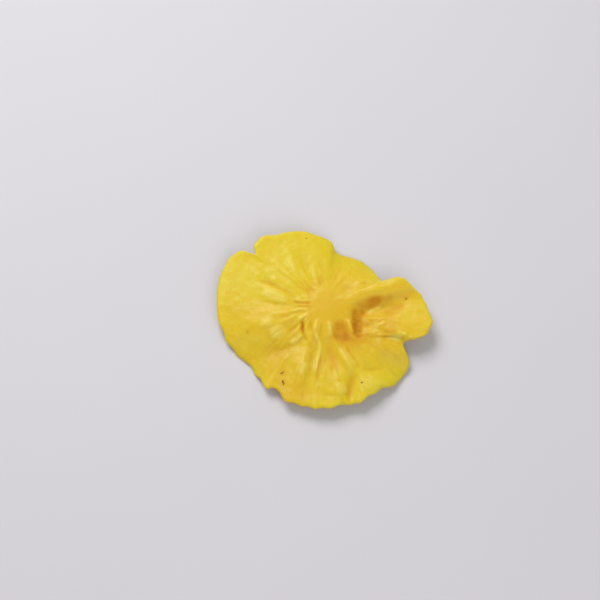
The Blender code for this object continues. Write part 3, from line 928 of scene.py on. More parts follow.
@dataclass(frozen=True)
class Form:
    """The slice's form: what height its two faces have over each point of the table."""

    rim: Rim = field(default_factory=Rim)
    gathers: Gathers = field(default_factory=Gathers)
    wrinkles: Wrinkles = field(default_factory=Wrinkles)
    core_top: float = 0.0100
    core_flat: float = 0.0060
    core_foot: float = 0.0100
    core_radius: float = 0.0058
    core_centre: Point = (0.0014, 0.0000)
    core_rise: float = 0.0007
    core_edge: float = 0.0044
    core_skirt: float = 0.0120
    core_open_side: float = 325.0
    core_margin: float = 0.0060
    core_uneven: float = 0.0012
    core_lumps: int = 18
    core_seed: int = 23
    flesh_level: float = 0.0073
    flesh_thickness: float = 0.0030
    rim_thickness: float = 0.0017
    least_flesh: float = 0.0009
    edge_round: float = 0.0012
    droop_power: float = 1.6
    broad_turns: tuple[float, ...] = (-36.0, -18.0, 0.0, 18.0, 36.0)
    underside_turn: float = 1.3

    def mid_height(self, x: Array, y: Array, degrees: Array) -> Array:
        """The height of the middle of the flesh: broad bends inside, the rim's height at the rim."""
        distance = np.hypot(x, y)
        reach = self.rim.reach(degrees)
        share = np.clip((distance - self.core_radius) / (reach - self.core_radius), 0.0, 1.0)
        broad = sum(self.rim.height(degrees + turn) for turn in self.broad_turns)
        edge = share * share
        rim = edge * self.rim.height(degrees) + (1.0 - edge) * broad / len(self.broad_turns)
        droop = share**self.droop_power * (rim - self.flesh_level)
        bends = sum(fold.lift(x, y) for fold in FOLDS.values())
        away_from_core = smooth((distance - 0.5 * self.core_radius) / self.core_margin)
        return self.flesh_level + droop + away_from_core * bends

    def core_swell(self, x: Array, y: Array) -> Array:
        """The share of the core's rise that each point has, with a sharp end at the upper left."""
        apart_x, apart_y = x - self.core_centre[0], y - self.core_centre[1]
        side = np.cos(np.arctan2(apart_y, apart_x) - math.radians(self.core_open_side))
        width = self.core_edge + (self.core_skirt - self.core_edge) * smooth(0.5 + 0.5 * side)
        turn = np.degrees(np.arctan2(apart_y, apart_x)) % 360.0
        lumps = Unevenness(self.core_lumps, self.core_seed).at(turn * self.core_lumps / 360.0, 0.0 * turn)
        uneven = self.core_uneven * lumps
        outside = (np.hypot(apart_x, apart_y) - self.core_radius + uneven) / width
        return 1.0 - smooth(outside + 0.3)

    def heights(self, x: Array, y: Array, degrees: Array, rim_gap: Array) -> tuple[Array, Array]:
        """Heights of the upper and lower face.

        Args:
            x: The points' places along +X.
            y: The points' places along +Y.
            degrees: Their angles round from +X.
            rim_gap: Their distances in from the rim.

        Returns:
            The height of the upper face and that of the lower one at each point.
        """
        distance = np.hypot(x, y)
        middle = np.maximum(self.mid_height(x, y, degrees), 0.5 * self.least_flesh)
        share = smooth(distance / self.rim.reach(degrees))
        thickness = self.flesh_thickness + (self.rim_thickness - self.flesh_thickness) * share
        inward = np.clip(rim_gap / self.edge_round, 0.0, 1.0)
        half = 0.5 * thickness * np.sqrt(1.0 - (1.0 - inward) ** 2)
        inner = smooth(0.5 * inward)
        shown = sum(pleat.lift(x, y) for pleat in PLEATS.values())
        core = self.core_swell(x, y)
        skin = self.gathers.lift(distance, degrees, 0.0)
        skin = (1.0 - core) * (skin + self.wrinkles.lift(x, y, distance, degrees, Face.UPPER))
        upper = middle + half + self.core_rise * core + inner * (shown + skin)
        foot = 1.0 - smooth((distance - self.core_flat) / self.core_foot)
        under = self.gathers.lift(distance, degrees, self.underside_turn)
        under = under + self.wrinkles.lift(x, y, distance, degrees, Face.LOWER)
        lower = np.maximum((middle - half + inner * under) * (1.0 - foot), 0.0)
        return np.maximum(upper, lower + self.least_flesh * inward), lower


@dataclass(frozen=True)
class HeightMap:
    """The upper face's height on a square grid, for finding its hollows and crests."""

    form: Form
    half_side: float = 0.0510
    step: float = 0.00025

    def grid(self) -> Array:
        """Heights on the grid, as rows of constant Y."""
        line = np.arange(-self.half_side, self.half_side, self.step)
        x, y = np.meshgrid(line, line)
        degrees = np.degrees(np.arctan2(y, x)) % 360.0
        gap = np.maximum(self.form.rim.reach(degrees) - np.hypot(x, y), self.form.edge_round)
        return self.form.heights(x, y, degrees, gap)[0]

    def blurred(self, heights: Array, width: float) -> Array:
        """The heights averaged over a soft window of this width."""
        cells = int(3.0 * width / self.step)
        reach = np.arange(-cells, cells + 1) * self.step
        window = np.exp(-((reach / width) ** 2))
        window /= window.sum()

        def run(line: Array) -> Array:
            """One row or column, averaged."""
            return np.convolve(np.pad(line, cells, mode="edge"), window, mode="valid")

        return np.apply_along_axis(run, 0, np.apply_along_axis(run, 1, heights))

    def read(self, values: Array, x: Array, y: Array) -> Array:
        """Values of the grid at any points, read between its nodes."""
        most = len(values) - 2
        at_x = np.clip((x + self.half_side) / self.step, 0.0, most)
        at_y = np.clip((y + self.half_side) / self.step, 0.0, most)
        column, row = at_x.astype(int), at_y.astype(int)
        right, up = at_x - column, at_y - row
        near = values[row, column] * (1 - right) + values[row, column + 1] * right
        far = values[row + 1, column] * (1 - right) + values[row + 1, column + 1] * right
        return near * (1 - up) + far * up


class Wire:
    """A node's output socket that takes part in Python sums."""

    def __init__(self, tree: Tree, socket: Any) -> None:
        """Keeps the tree and the socket."""
        self.tree = tree
        self.socket = socket

    def _with(self, operation: str, first: Any, second: Any) -> Wire:
        """A Math node on two values."""
        return self.tree.wire("ShaderNodeMath", {"operation": operation}, {0: first, 1: second})

    def __add__(self, other: Term) -> Wire:
        """This plus the other."""
        return self._with("ADD", self, other)

    def __radd__(self, other: Term) -> Wire:
        """The other plus this."""
        return self._with("ADD", other, self)

    def __sub__(self, other: Term) -> Wire:
        """This less the other."""
        return self._with("SUBTRACT", self, other)

    def __rsub__(self, other: Term) -> Wire:
        """The other less this."""
        return self._with("SUBTRACT", other, self)

    def __mul__(self, other: Term) -> Wire:
        """This times the other."""
        return self._with("MULTIPLY", self, other)

    def __pow__(self, other: Term) -> Wire:
        """This to the power of the other."""
        return self._with("POWER", self, other)

    def eased(self, low: float, high: float) -> Wire:
        """A smooth step from 0 at low to 1 at high."""
        return self.tree.wire(
            "ShaderNodeMapRange",
            {"interpolation_type": "SMOOTHSTEP"},
            {"Value": self, "From Min": low, "From Max": high},
            "Result",
        )


Term = Union[Wire, float, int]


class Tree:
    """A node tree under construction, for a material or for a modifier."""

    def __init__(self, nodes: bpy.types.NodeTree) -> None:
        """Clears the tree's nodes and keeps it."""
        self.nodes = nodes
        self.nodes.nodes.clear()

    def node(self, kind: str, settings: dict[str, Any] | None = None,
             inputs: dict[Any, Any] | None = None) -> bpy.types.Node:
        """Adds a node.

        Args:
            kind: The node's type.
            settings: Its properties, which are set first.
            inputs: Values or wires for its input sockets, by name or number.

        Returns:
            The new node.
        """
        made = self.nodes.nodes.new(kind)
        for name, value in (settings or {}).items():
            setattr(made, name, value)
        for name, value in (inputs or {}).items():
            socket = made.inputs[name]
            if isinstance(value, Wire):
                self.nodes.links.new(value.socket, socket)
            else:
                socket.default_value = value
        return made

    def wire(self, kind: str, settings: dict[str, Any] | None = None,
             inputs: dict[Any, Any] | None = None, output: Any = 0) -> Wire:
        """Adds a node and gives the wire that leaves one of its outputs."""
        return Wire(self, self.node(kind, settings, inputs).outputs[output])


class Shader(Tree):
    """The nodes of one material."""

    def __init__(self, name: str) -> None:
        """Makes the material and an empty tree in it."""
        self.material = bpy.data.materials.new(name)
        self.material.use_nodes = True
        super().__init__(self.material.node_tree)

    def attribute(self, name: str) -> Wire:
        """A number that the mesh holds at each vertex."""
        return self.wire("ShaderNodeAttribute", {"attribute_name": name}, output="Fac")

    def place(self) -> Wire:
        """The point's own coordinates on the piece."""
        return self.wire("ShaderNodeTexCoord", output="Object")

    def noise(self, at: Wire, scale: float, detail: float = 2.0, roughness: float = 0.5) -> Wire:
        """Soft noise from 0 to 1."""
        inputs = {"Vector": at, "Scale": scale, "Detail": detail, "Roughness": roughness}
        return self.wire("ShaderNodeTexNoise", {}, inputs, "Fac")

    def mixed(self, share: Wire, first: Wire | Colour, second: Wire | Colour) -> Wire:
        """One colour turned into another where share is 1."""

        def whole(colour: Wire | Colour) -> Any:
            """The colour with its alpha, where it is a plain one."""
            return colour if isinstance(colour, Wire) else (*colour, 1.0)

        inputs = {0: share, 6: whole(first), 7: whole(second)}
        return self.wire("ShaderNodeMix", {"data_type": "RGBA"}, inputs, 2)

    def bump(self, height: Wire, distance: float) -> Wire:
        """A normal bent by a height."""
        return self.wire("ShaderNodeBump", {}, {"Height": height, "Distance": distance}, "Normal")

    def finish(self, inputs: dict[str, Any]) -> bpy.types.Material:
        """Ends the tree in a Principled shader with these inputs."""
        shader = self.wire("ShaderNodeBsdfPrincipled", {}, inputs, "BSDF")
        self.node("ShaderNodeOutputMaterial", {}, {"Surface": shader})
        return self.material


@dataclass(frozen=True)
class Drop:
    """Where a point lands when it drops on a surface."""

    hit: Wire
    place: Wire
    normal: Wire


class Grower(Tree):
    """A Geometry Nodes tree with named inputs, which runs once and leaves a plain mesh."""

    drop_from: float = 0.1

    def __init__(self, name: str) -> None:
        """Makes an empty tree that takes a geometry and gives one back."""
        self.name = name
        self.group = bpy.data.node_groups.new(name, "GeometryNodeTree")
        for side in ("INPUT", "OUTPUT"):
            self.group.interface.new_socket("Geometry", in_out=side, socket_type="NodeSocketGeometry")
        super().__init__(self.group)
        self.start = self.node("NodeGroupInput")
        self.values: dict[str, Any] = {}

    def given(self) -> Wire:
        """The geometry that the tree starts from."""
        return Wire(self, self.start.outputs["Geometry"])

    def named(self, name: str, kind: str, value: Any) -> Wire:
        """Adds an input with its value.

        Args:
            name: The input's name.
            kind: Its socket type.
            value: What the modifier sets it to.

        Returns:
            The wire that leaves the input.
        """
        socket = self.group.interface.new_socket(name, in_out="INPUT", socket_type=kind)
        self.values[socket.identifier] = value
        return Wire(self, self.start.outputs[name])

    def vector(self, x: Term = 0.0, y: Term = 0.0, z: Term = 0.0) -> Wire:
        """A vector from three numbers."""
        return self.wire("ShaderNodeCombineXYZ", {}, {"X": x, "Y": y, "Z": z})

    def stored(self, name: str) -> Wire:
        """A number that the geometry holds at each point."""
        return self.wire(
            "GeometryNodeInputNamedAttribute", {"data_type": "FLOAT"}, {"Name": name}, "Attribute",
        )

    def chance(self, low: float, high: float, seed: Wire) -> Wire:
        """A random number for each point."""
        return self.wire("FunctionNodeRandomValue", {"data_type": "FLOAT"}, {2: low, 3: high, 8: seed}, 1)

    def ground(self, surface: Wire) -> Wire:
        """The geometry of another object."""
        return self.wire("GeometryNodeObjectInfo", {}, {"Object": surface}, "Geometry")

    def dropped(self, ground: Wire) -> Drop:
        """Where each point lands when it drops on the ground from above."""
        over = self.wire(
            "ShaderNodeVectorMath", {"operation": "ADD"},
            {0: self.wire("GeometryNodeInputPosition"), 1: (0.0, 0.0, self.drop_from)},
        )
        fall = self.node(
            "GeometryNodeRaycast", {},
            {"Target Geometry": ground, "Source Position": over, "Ray Direction": (0.0, 0.0, -1.0)},
        )
        names = ("Is Hit", "Hit Position", "Hit Normal")
        return Drop(*(Wire(self, fall.outputs[name]) for name in names))

    def crumpled(self, geometry: Wire, depth: Term, scale: float) -> Wire:
        """The geometry with its points moved by soft noise."""
        noise = self.wire("ShaderNodeTexNoise", {}, {"Scale": scale, "Detail": 2.0}, "Color")
        shift = self.wire("ShaderNodeVectorMath", {"operation": "SUBTRACT"}, {0: noise, 1: (0.5, 0.5, 0.5)})
        inputs = {0: shift, "Scale": depth}
        shift = self.wire("ShaderNodeVectorMath", {"operation": "SCALE"}, inputs)
        whole = self.wire("GeometryNodeRealizeInstances", {}, {"Geometry": geometry})
        return self.wire("GeometryNodeSetPosition", {}, {"Geometry": whole, "Offset": shift})

    def grow(self, seeds: bpy.types.Mesh, shape: Wire, finish: bpy.types.Material) -> bpy.types.Object:
        """Runs the tree.

        Args:
            seeds: The mesh that the tree starts from.
            shape: The wire that holds the finished shape.
            finish: The material that it gets.

        Returns:
            An object with the result as a plain mesh and no modifier.
        """
        whole = self.wire("GeometryNodeRealizeInstances", {}, {"Geometry": shape})
        dressed = self.wire("GeometryNodeSetMaterial", {}, {"Geometry": whole, "Material": finish})
        self.node("NodeGroupOutput", {}, {"Geometry": dressed})
        piece = bpy.data.objects.new(self.name, seeds)
        bpy.context.scene.collection.objects.link(piece)
        modifier = piece.modifiers.new(self.name, "NODES")
        modifier.node_group = self.group
        for identifier, value in self.values.items():
            modifier[identifier] = value
        graph = bpy.context.evaluated_depsgraph_get()
        grown = bpy.data.meshes.new_from_object(piece.evaluated_get(graph), depsgraph=graph)
        piece.modifiers.clear()
        piece.data = grown
        grown.name = self.name
        grown.shade_smooth()
        return piece


@dataclass(frozen=True)
class EyeFinish:
    """Dark brown scraps of rind, dry and a little rough."""

    colour: Colour = (0.085, 0.030, 0.008)
    lighter: Colour = (0.26, 0.11, 0.020)
    roughness: float = 0.55
    grain_scale: float = 2200.0
    grain_depth: float = 0.0001

    def material(self) -> bpy.types.Material:
        """The eye remnants' material."""
        shader = Shader("eye_remnant")
        grain = shader.noise(shader.place(), self.grain_scale)
        colour = shader.mixed(grain.eased(0.35, 0.7), self.colour, self.lighter)
        normal = shader.bump(grain, self.grain_depth)
        return shader.finish({"Base Color": colour, "Roughness": self.roughness, "Normal": normal})


@dataclass(frozen=True)
class FibreFinish:
    """Pale golden fibre, a little glossier than the flesh."""

    colour: Colour = (0.84, 0.62, 0.060)
    deeper: Colour = (0.76, 0.46, 0.018)
    roughness: float = 0.38
    drift_scale: float = 260.0

    def material(self) -> bpy.types.Material:
        """The fibres' material."""
        shader = Shader("pale_fibre")
        drift = shader.noise(shader.place(), self.drift_scale)
        colour = shader.mixed(drift.eased(0.35, 0.65), self.colour, self.deeper)
        return shader.finish({"Base Color": colour, "Roughness": self.roughness})


@dataclass(frozen=True)
class FleshFinish:
    """Golden dried flesh: lemon where it is thin, amber in its own streaks and as painted shade in its
    hollows, brown as painted shade in its creases, and cream as painted highlights.
    """

    gold: Colour = (0.79, 0.56, 0.020)
    lemon: Colour = (0.77, 0.605, 0.020)
    honey: Colour = (0.76, 0.48, 0.014)
    # Colours of painted shade and painted highlight: amber for hollows (also the flesh's streaks), brown for
    # creases, cream for highlights.
    amber: Colour = (0.68, 0.32, 0.006)
    shade_brown: Colour = (0.40, 0.13, 0.003)
    highlight_cream: Colour = (0.89, 0.73, 0.14)
    roughness: float = 0.44
    ior: float = 1.43
    specular: float = 0.3
    glow: float = 0.5
    glow_reach: tuple[float, float, float] = (0.0035, 0.0016, 0.0003)
    coat: float = 0.12
    coat_roughness: float = 0.28
    strand_scale: float = 0.8
    strand_contrast: float = 0.6
    band_scale: float = 0.16
    patch_scale: float = 110.0
    mottle_scale: float = 320.0
    grain_scale: float = 1300.0
    relief_depth: float = 0.00016

    def material(self) -> bpy.types.Material:
        """The flesh's material, which reads what the mesh says of its hollows and its rim."""
        shader = Shader("dried_flesh")
        place = shader.place()
        hollow, crease = shader.attribute("hollow"), shader.attribute("crease")
        thin, deep, shade_and_stain = (shader.attribute(name) for name in ("thin", "deep", "shade_and_stain"))
        pale, core = shader.attribute("pale"), shader.attribute("core")
        crest = shader.attribute("crest")
        fibre = shader.wire("ShaderNodeAttribute", {"attribute_name": "fibre"}, output="Vector")
        strands = shader.noise(fibre, self.strand_scale, 1.0)
        streaks = (strands - 0.5) * (1.0 - core * 0.85) * self.strand_contrast
        patches = shader.noise(place, self.patch_scale, 3.0) - 0.5
        mottles = shader.noise(place, self.mottle_scale) - 0.5
        grains = shader.noise(place, self.grain_scale) - 0.5
        colour = shader.mixed(thin * 0.7 - deep + mottles * 0.8, self.gold, self.lemon)
        bands = (shader.noise(fibre, self.band_scale, 2.0, 0.6) - 0.5) * (1.0 - core * 0.8)
        mellow = deep + patches * 0.6 + bands * 1.6
        colour = shader.mixed(mellow.eased(-0.2, 1.1), colour, self.honey)
        # Amber: painted shade in the hollows and where the tints paint shade, with the flesh's own streaks
        # and bands.
        shaded_and_streaked = hollow * 0.4 + shade_and_stain * (0.9 + streaks * 0.4) + streaks * 0.2 + bands * 0.4
        colour = shader.mixed(shaded_and_streaked.eased(0.0, 1.35), colour, self.amber)
        # Cream: painted highlights where the tints paint them and on the crests.
        painted_shine = pale * (0.8 + streaks * 1.4 + mottles * 0.8) + crest * (streaks + bands) * 0.6
        calm = 1.0 - shade_and_stain.eased(0.1, 1.0)
        colour = shader.mixed(painted_shine.eased(0.0, 1.0) * calm * 0.8, colour, self.highlight_cream)
        # Brown: painted shade in the creases and where the painted shade is deepest.
        crease_shade = crease * 0.5 + (shade_and_stain - 0.9) * 0.8
        colour = shader.mixed(crease_shade.eased(0.0, 1.0) * 0.55, colour, self.shade_brown)
        relief = streaks * 0.5 + mottles * 0.4 + grains * 0.25
        normal = shader.bump(relief, self.relief_depth)
        rough = self.roughness + streaks * 0.25 + grains * 0.1 + shade_and_stain * 0.15
        return shader.finish({
            "Base Color": colour,
            "Roughness": rough,
            "Normal": normal,
            "IOR": self.ior,
            "Specular IOR Level": self.specular,
            "Subsurface Weight": self.glow,
            "Subsurface Radius": self.glow_reach,
            "Subsurface Scale": 1.0,
            "Coat Weight": (1.0 - hollow) * calm * self.coat,
            "Coat Roughness": self.coat_roughness,
        })


@dataclass(frozen=True)
class TableFinish:
    """A pale table top, faintly uneven."""

    colour: Colour = (0.68, 0.66, 0.69)
    roughness: float = 0.6
    drift_scale: float = 14.0
    darkening: float = 0.97

    def material(self) -> bpy.types.Material:
        """The table's material."""
        shader = Shader("pale_table")
        drift = shader.noise(shader.place(), self.drift_scale, 3.0)
        darker = tuple(self.darkening * part for part in self.colour)
        colour = shader.mixed(drift, self.colour, darker)
        return shader.finish({"Base Color": colour, "Roughness": self.roughness})


@dataclass
class FleshSlice:
    """The slice itself: one closed mesh of rings and spokes, dressed as dried flesh."""

    form: Form = field(default_factory=Form)
    finish: FleshFinish = field(default_factory=FleshFinish)
    spokes: int = 560
    upper_rings: int = 116
    lower_rings: int = 48
    ring_spread: float = 1.12
    edge_rings: tuple[float, ...] = (0.6, 0.3, 0.1, 0.0)
    crowded: tuple[float, ...] = (334.6, 20.0, 143.0, 284.0, 240.0)
    crowding: float = 1.2
    crowd_width: float = 7.0
    hollow_width: float = 0.0040
    hollow_depth: float = 0.0012
    crease_width: float = 0.0011
    crease_depth: float = 0.00045
    thin_width: float = 0.0060
    fibre_count: float = 210.0
    fibre_length: float = 0.0050
    fibre_sway: float = 0.06
    fibre_sways: int = 12
    sway_length: float = 0.006
    seed: int = 3
    under_strength: float = 0.4
    most_shade_and_stain: float = 1.5
    depths: tuple[tuple[Point, float, float], ...] = (
        ((0.003, -0.006), 0.013, 0.5),
        ((0.024, -0.018), 0.016, 0.45),
        ((0.020, -0.006), 0.009, 0.6),
        ((0.002, 0.002), 0.008, 0.35),
        ((0.012, 0.008), 0.007, 0.35),
        ((-0.006, 0.026), 0.016, -0.8),
        ((-0.030, 0.014), 0.014, -0.8),
        ((0.016, -0.040), 0.012, -0.6),
        ((0.029, -0.033), 0.011, -0.8),
        ((-0.016, 0.009), 0.008, -0.3),
        ((-0.028, -0.010), 0.012, 0.3),
        ((-0.018, -0.018), 0.010, 0.3),
        ((-0.013, -0.036), 0.008, 0.6),
    )

    def angles(self) -> Array:
        """Angles of the spokes in degrees, closer together beside the notches and folds."""
        fine = np.linspace(0.0, 360.0, 3601)
        density = np.ones_like(fine)
        for place in self.crowded:
            apart = (fine - place + 180.0) % 360.0 - 180.0
            density += self.crowding * np.exp(-((apart / self.crowd_width) ** 2))
        total = np.concatenate([[0.0], np.cumsum(0.5 * (density[1:] + density[:-1]))])
        return np.interp(np.arange(self.spokes) / self.spokes * total[-1], total, fine)

    def distances(self, reach: Array, rings: int) -> Array:
        """Distances of the rings from the axis, one row a ring, with the last ring on the rim."""
        edge = self.form.edge_round
        inner = rings - len(self.edge_rings)
        steps = np.arange(1, inner + 1) / inner
        spread = [(reach - edge) * step**self.ring_spread for step in steps]
        return np.array(spread + [reach - part * edge for part in self.edge_rings])

    def points(self) -> tuple[Array, Array]:
        """Points of the upper face's rings, then of the lower face's without the shared rim."""
        degrees = self.angles()
        reach = self.form.rim.reach(degrees) + self.form.rim.torn(degrees)
        turn = np.radians(degrees)
        faces = []
        for rings in (self.upper_rings, self.lower_rings):
            distance = self.distances(reach, rings)
            x, y = distance * np.cos(turn), distance * np.sin(turn)
            around = np.broadcast_to(degrees, x.shape)
            upper, lower = self.form.heights(x, y, around, reach - distance)
            faces.append((x, y, upper, lower))
        (x, y, upper, lower), (low_x, low_y, _, under) = faces
        upper[-1] = np.maximum(0.5 * (upper[-1] + lower[-1]), 0.5 * self.form.least_flesh)
        top = np.stack([x, y, upper], axis=-1)
        return top, np.stack([low_x, low_y, under], axis=-1)[:-1]

    def mesh(self) -> bpy.types.Mesh:
        """The closed mesh, with what the finish needs to know at each vertex."""
        top, bottom = self.points()
        spokes = self.spokes
        centre = self.form.heights(*np.zeros((3, 1)), np.array([1.0]))[0][0]
        points = np.concatenate([
            [[0.0, 0.0, centre]], top.reshape(-1, 3), [[0.0, 0.0, 0.0]], bottom.reshape(-1, 3),
        ])
        low_centre = 1 + top.shape[0] * spokes
        upper_at = 1 + np.arange(top.shape[0] * spokes).reshape(-1, spokes)
        lower_at = low_centre + 1 + np.arange(bottom.shape[0] * spokes).reshape(-1, spokes)
        lower_at = np.concatenate([lower_at, upper_at[-1:]])
        faces: list[tuple[int, ...]] = []
        for grid, middle, order in ((upper_at, 0, 1), (lower_at, low_centre, -1)):
            beside = np.roll(grid, -1, axis=1)
            quads = np.stack([grid[:-1], grid[1:], beside[1:], beside[:-1]], axis=-1)
            faces += [tuple(quad[::order]) for quad in quads.reshape(-1, 4).tolist()]
            fan = np.stack([np.full(spokes, middle), grid[0], beside[0]], axis=-1)
            faces += [tuple(corner[::order]) for corner in fan.tolist()]
        mesh = bpy.data.meshes.new("flesh")
        mesh.from_pydata(points.tolist(), [], faces)
        mesh.shade_smooth()
        self.describe(mesh, points, upper=np.arange(len(points)) < low_centre)
        return mesh

    def describe(self, mesh: bpy.types.Mesh, points: Array, upper: Array) -> None:
        """Stores at each vertex how hollow, creased and thin the flesh is there, and its painted shade and
        highlights.

        Args:
            mesh: The mesh that gets the attributes.
            points: Its vertices.
            upper: Which of them belong to the upper face.
        """
        x, y = points[:, 0], points[:, 1]
        degrees = np.degrees(np.arctan2(y, x)) % 360.0
        distance = np.hypot(x, y)
        height_map = HeightMap(self.form)
        heights = height_map.grid()
        broad = height_map.blurred(heights, self.hollow_width) - heights
        tight = height_map.blurred(heights, self.crease_width) - heights
        shown = np.where(upper, 1.0, self.under_strength)
        hollow = height_map.read(broad, x, y) / self.hollow_depth
        crease = height_map.read(tight, x, y) / self.crease_depth
        gap = self.form.rim.reach(degrees) - distance
        thin = 1.0 - smooth(gap / self.thin_width)
        # Tints below 0 add up to painted shade, with the eye pits' real brown stain; tints above 0 add up to
        # painted highlights.
        tints = {name: relief.tint * relief.weight(x, y) for name, relief in PLEATS.items()}
        pale = sum(np.maximum(tint, 0.0) for tint in tints.values())
        shade_and_stain = sum(np.maximum(-tint, 0.0) for tint in tints.values())
        values = {
            "hollow": np.clip(hollow, 0.0, 1.0) * shown,
            "crease": np.clip(crease, 0.0, 1.0) * shown,
            "crest": np.clip(-hollow, 0.0, 1.0) * shown,
            "thin": thin,
            "pale": np.clip(pale, 0.0, 1.0) * upper,
            "shade_and_stain": np.clip(shade_and_stain, 0.0, self.most_shade_and_stain) * upper,
            "deep": self.depth_of_colour(x, y),
            "core": self.form.core_swell(x, y),
        }
        turn = np.radians(degrees)
        sways = Unevenness(self.fibre_sways, self.seed)
        sway = sways.at(degrees * self.fibre_sways / 360.0, distance / self.sway_length)
        turn = turn + self.fibre_sway * sway
        fibre = np.stack([
            np.cos(turn) * self.fibre_count / math.tau,
            np.sin(turn) * self.fibre_count / math.tau,
            distance / self.fibre_length,
        ], axis=-1)
        stored = mesh.attributes.new("fibre", "FLOAT_VECTOR", "POINT")
        stored.data.foreach_set("vector", np.ascontiguousarray(fibre.ravel(), dtype=np.float32))
        for name, value in values.items():
            stored = mesh.attributes.new(name, "FLOAT", "POINT")
            stored.data.foreach_set("value", np.ascontiguousarray(value, dtype=np.float32))

    def depth_of_colour(self, x: Array, y: Array) -> Array:
        """How deep the flesh's colour is: most below the core, least at the upper left."""
        return sum(
            strength * np.exp(-((np.hypot(x - at[0], y - at[1]) / radius) ** 2))
            for at, radius, strength in self.depths
        )

    def build(self) -> bpy.types.Object:
        """Makes the slice and dresses it."""
        mesh = self.mesh()
        mesh.materials.append(self.finish.material())
        piece = bpy.data.objects.new("flesh", mesh)
        bpy.context.scene.collection.objects.link(piece)
        return piece


@dataclass(frozen=True)
class Eye:
    """What is left of one eye of the fruit: its place, its size and how far it is turned."""

    place: Point
    length: float
    width: float
    turn: float


@dataclass
class EyeRemnants:
    """Small dark flakes near the rim, where the eyes of the fruit were cut away."""

    eyes: tuple[Eye, ...] = (
        Eye((-0.0166, -0.0294), 0.0015, 0.0006, 0.75),
        Eye((-0.0161, -0.0338), 0.0018, 0.0008, 1.75),
        Eye((0.0169, -0.0339), 0.0010, 0.0006, 0.2),
        Eye((0.0354, 0.0025), 0.0009, 0.0005, 0.8),
        Eye((-0.0312, -0.0116), 0.0006, 0.0003, 1.2),
        Eye((-0.0065, 0.0297), 0.0005, 0.0003, 0.4),
    )
    flakes: int = 5
    thickness: float = 0.00012
    smallest: float = 0.35
    largest: float = 0.8
    crumple: float = 0.00018
    crumple_scale: float = 2400.0
    seed: int = 4
    finish: EyeFinish = field(default_factory=EyeFinish)

    def places(self) -> bpy.types.Mesh:
        """One point for each eye, with its length, width and turn."""
        mesh = bpy.data.meshes.new("eye_remnants")
        mesh.from_pydata([(*eye.place, 0.0) for eye in self.eyes], [], [])
        for name in ("length", "width", "turn"):
            stored = mesh.attributes.new(name, "FLOAT", "POINT")
            stored.data.foreach_set("value", [getattr(eye, name) for eye in self.eyes])
        return mesh

    def build(self, surface: bpy.types.Object) -> bpy.types.Object:
        """Scatters the flakes on the slice.

        Args:
            surface: The slice that they lie on.

        Returns:
            The flakes as one piece.
        """
        tree = Grower("eye_remnants")
        ground = tree.ground(tree.named("Surface", "NodeSocketObject", surface))
        flakes = tree.named("Flakes", "NodeSocketInt", self.flakes)
        thickness = tree.named("Thickness", "NodeSocketFloat", self.thickness)
        seed = tree.named("Seed", "NodeSocketInt", self.seed)
        length, width, turn = (tree.stored(name) for name in ("length", "width", "turn"))
        eyes = tree.wire("GeometryNodeMeshToPoints", {}, {"Mesh": tree.given()})
        several = tree.wire(
            "GeometryNodeDuplicateElements", {"domain": "POINT"}, {"Geometry": eyes, "Amount": flakes},
        )
        along, across = tree.chance(-0.5, 0.5, seed), tree.chance(-0.5, 0.5, seed + 1)
        apart = tree.vector(along * length, across * width)
        turned = tree.wire(
            "ShaderNodeVectorRotate", {"rotation_type": "Z_AXIS"}, {"Vector": apart, "Angle": turn},
        )
        strewn = tree.wire("GeometryNodeSetPosition", {}, {"Geometry": several, "Offset": turned})
        drop = tree.dropped(ground)
        landed = tree.wire(
            "GeometryNodeSetPosition", {}, {"Geometry": strewn, "Position": drop.place},
        )
        size = tree.chance(self.smallest, self.largest, seed + 2)
        scale = tree.vector(length * size, width * size, thickness)
        level = tree.vector(0.0, 0.0, turn + tree.chance(-0.5, 0.5, seed + 3))
        laid = tree.wire(
            "FunctionNodeAlignRotationToVector", {"axis": "Z"}, {"Rotation": level, "Vector": drop.normal},
        )
        flake = tree.wire("GeometryNodeMeshIcoSphere", {}, {"Radius": 0.5, "Subdivisions": 2}, "Mesh")
        placed = tree.wire(
            "GeometryNodeInstanceOnPoints", {},
            {"Points": landed, "Instance": flake, "Rotation": laid, "Scale": scale},
        )
        crumpled = tree.crumpled(placed, self.crumple, self.crumple_scale)
        return tree.grow(self.places(), crumpled, self.finish.material())


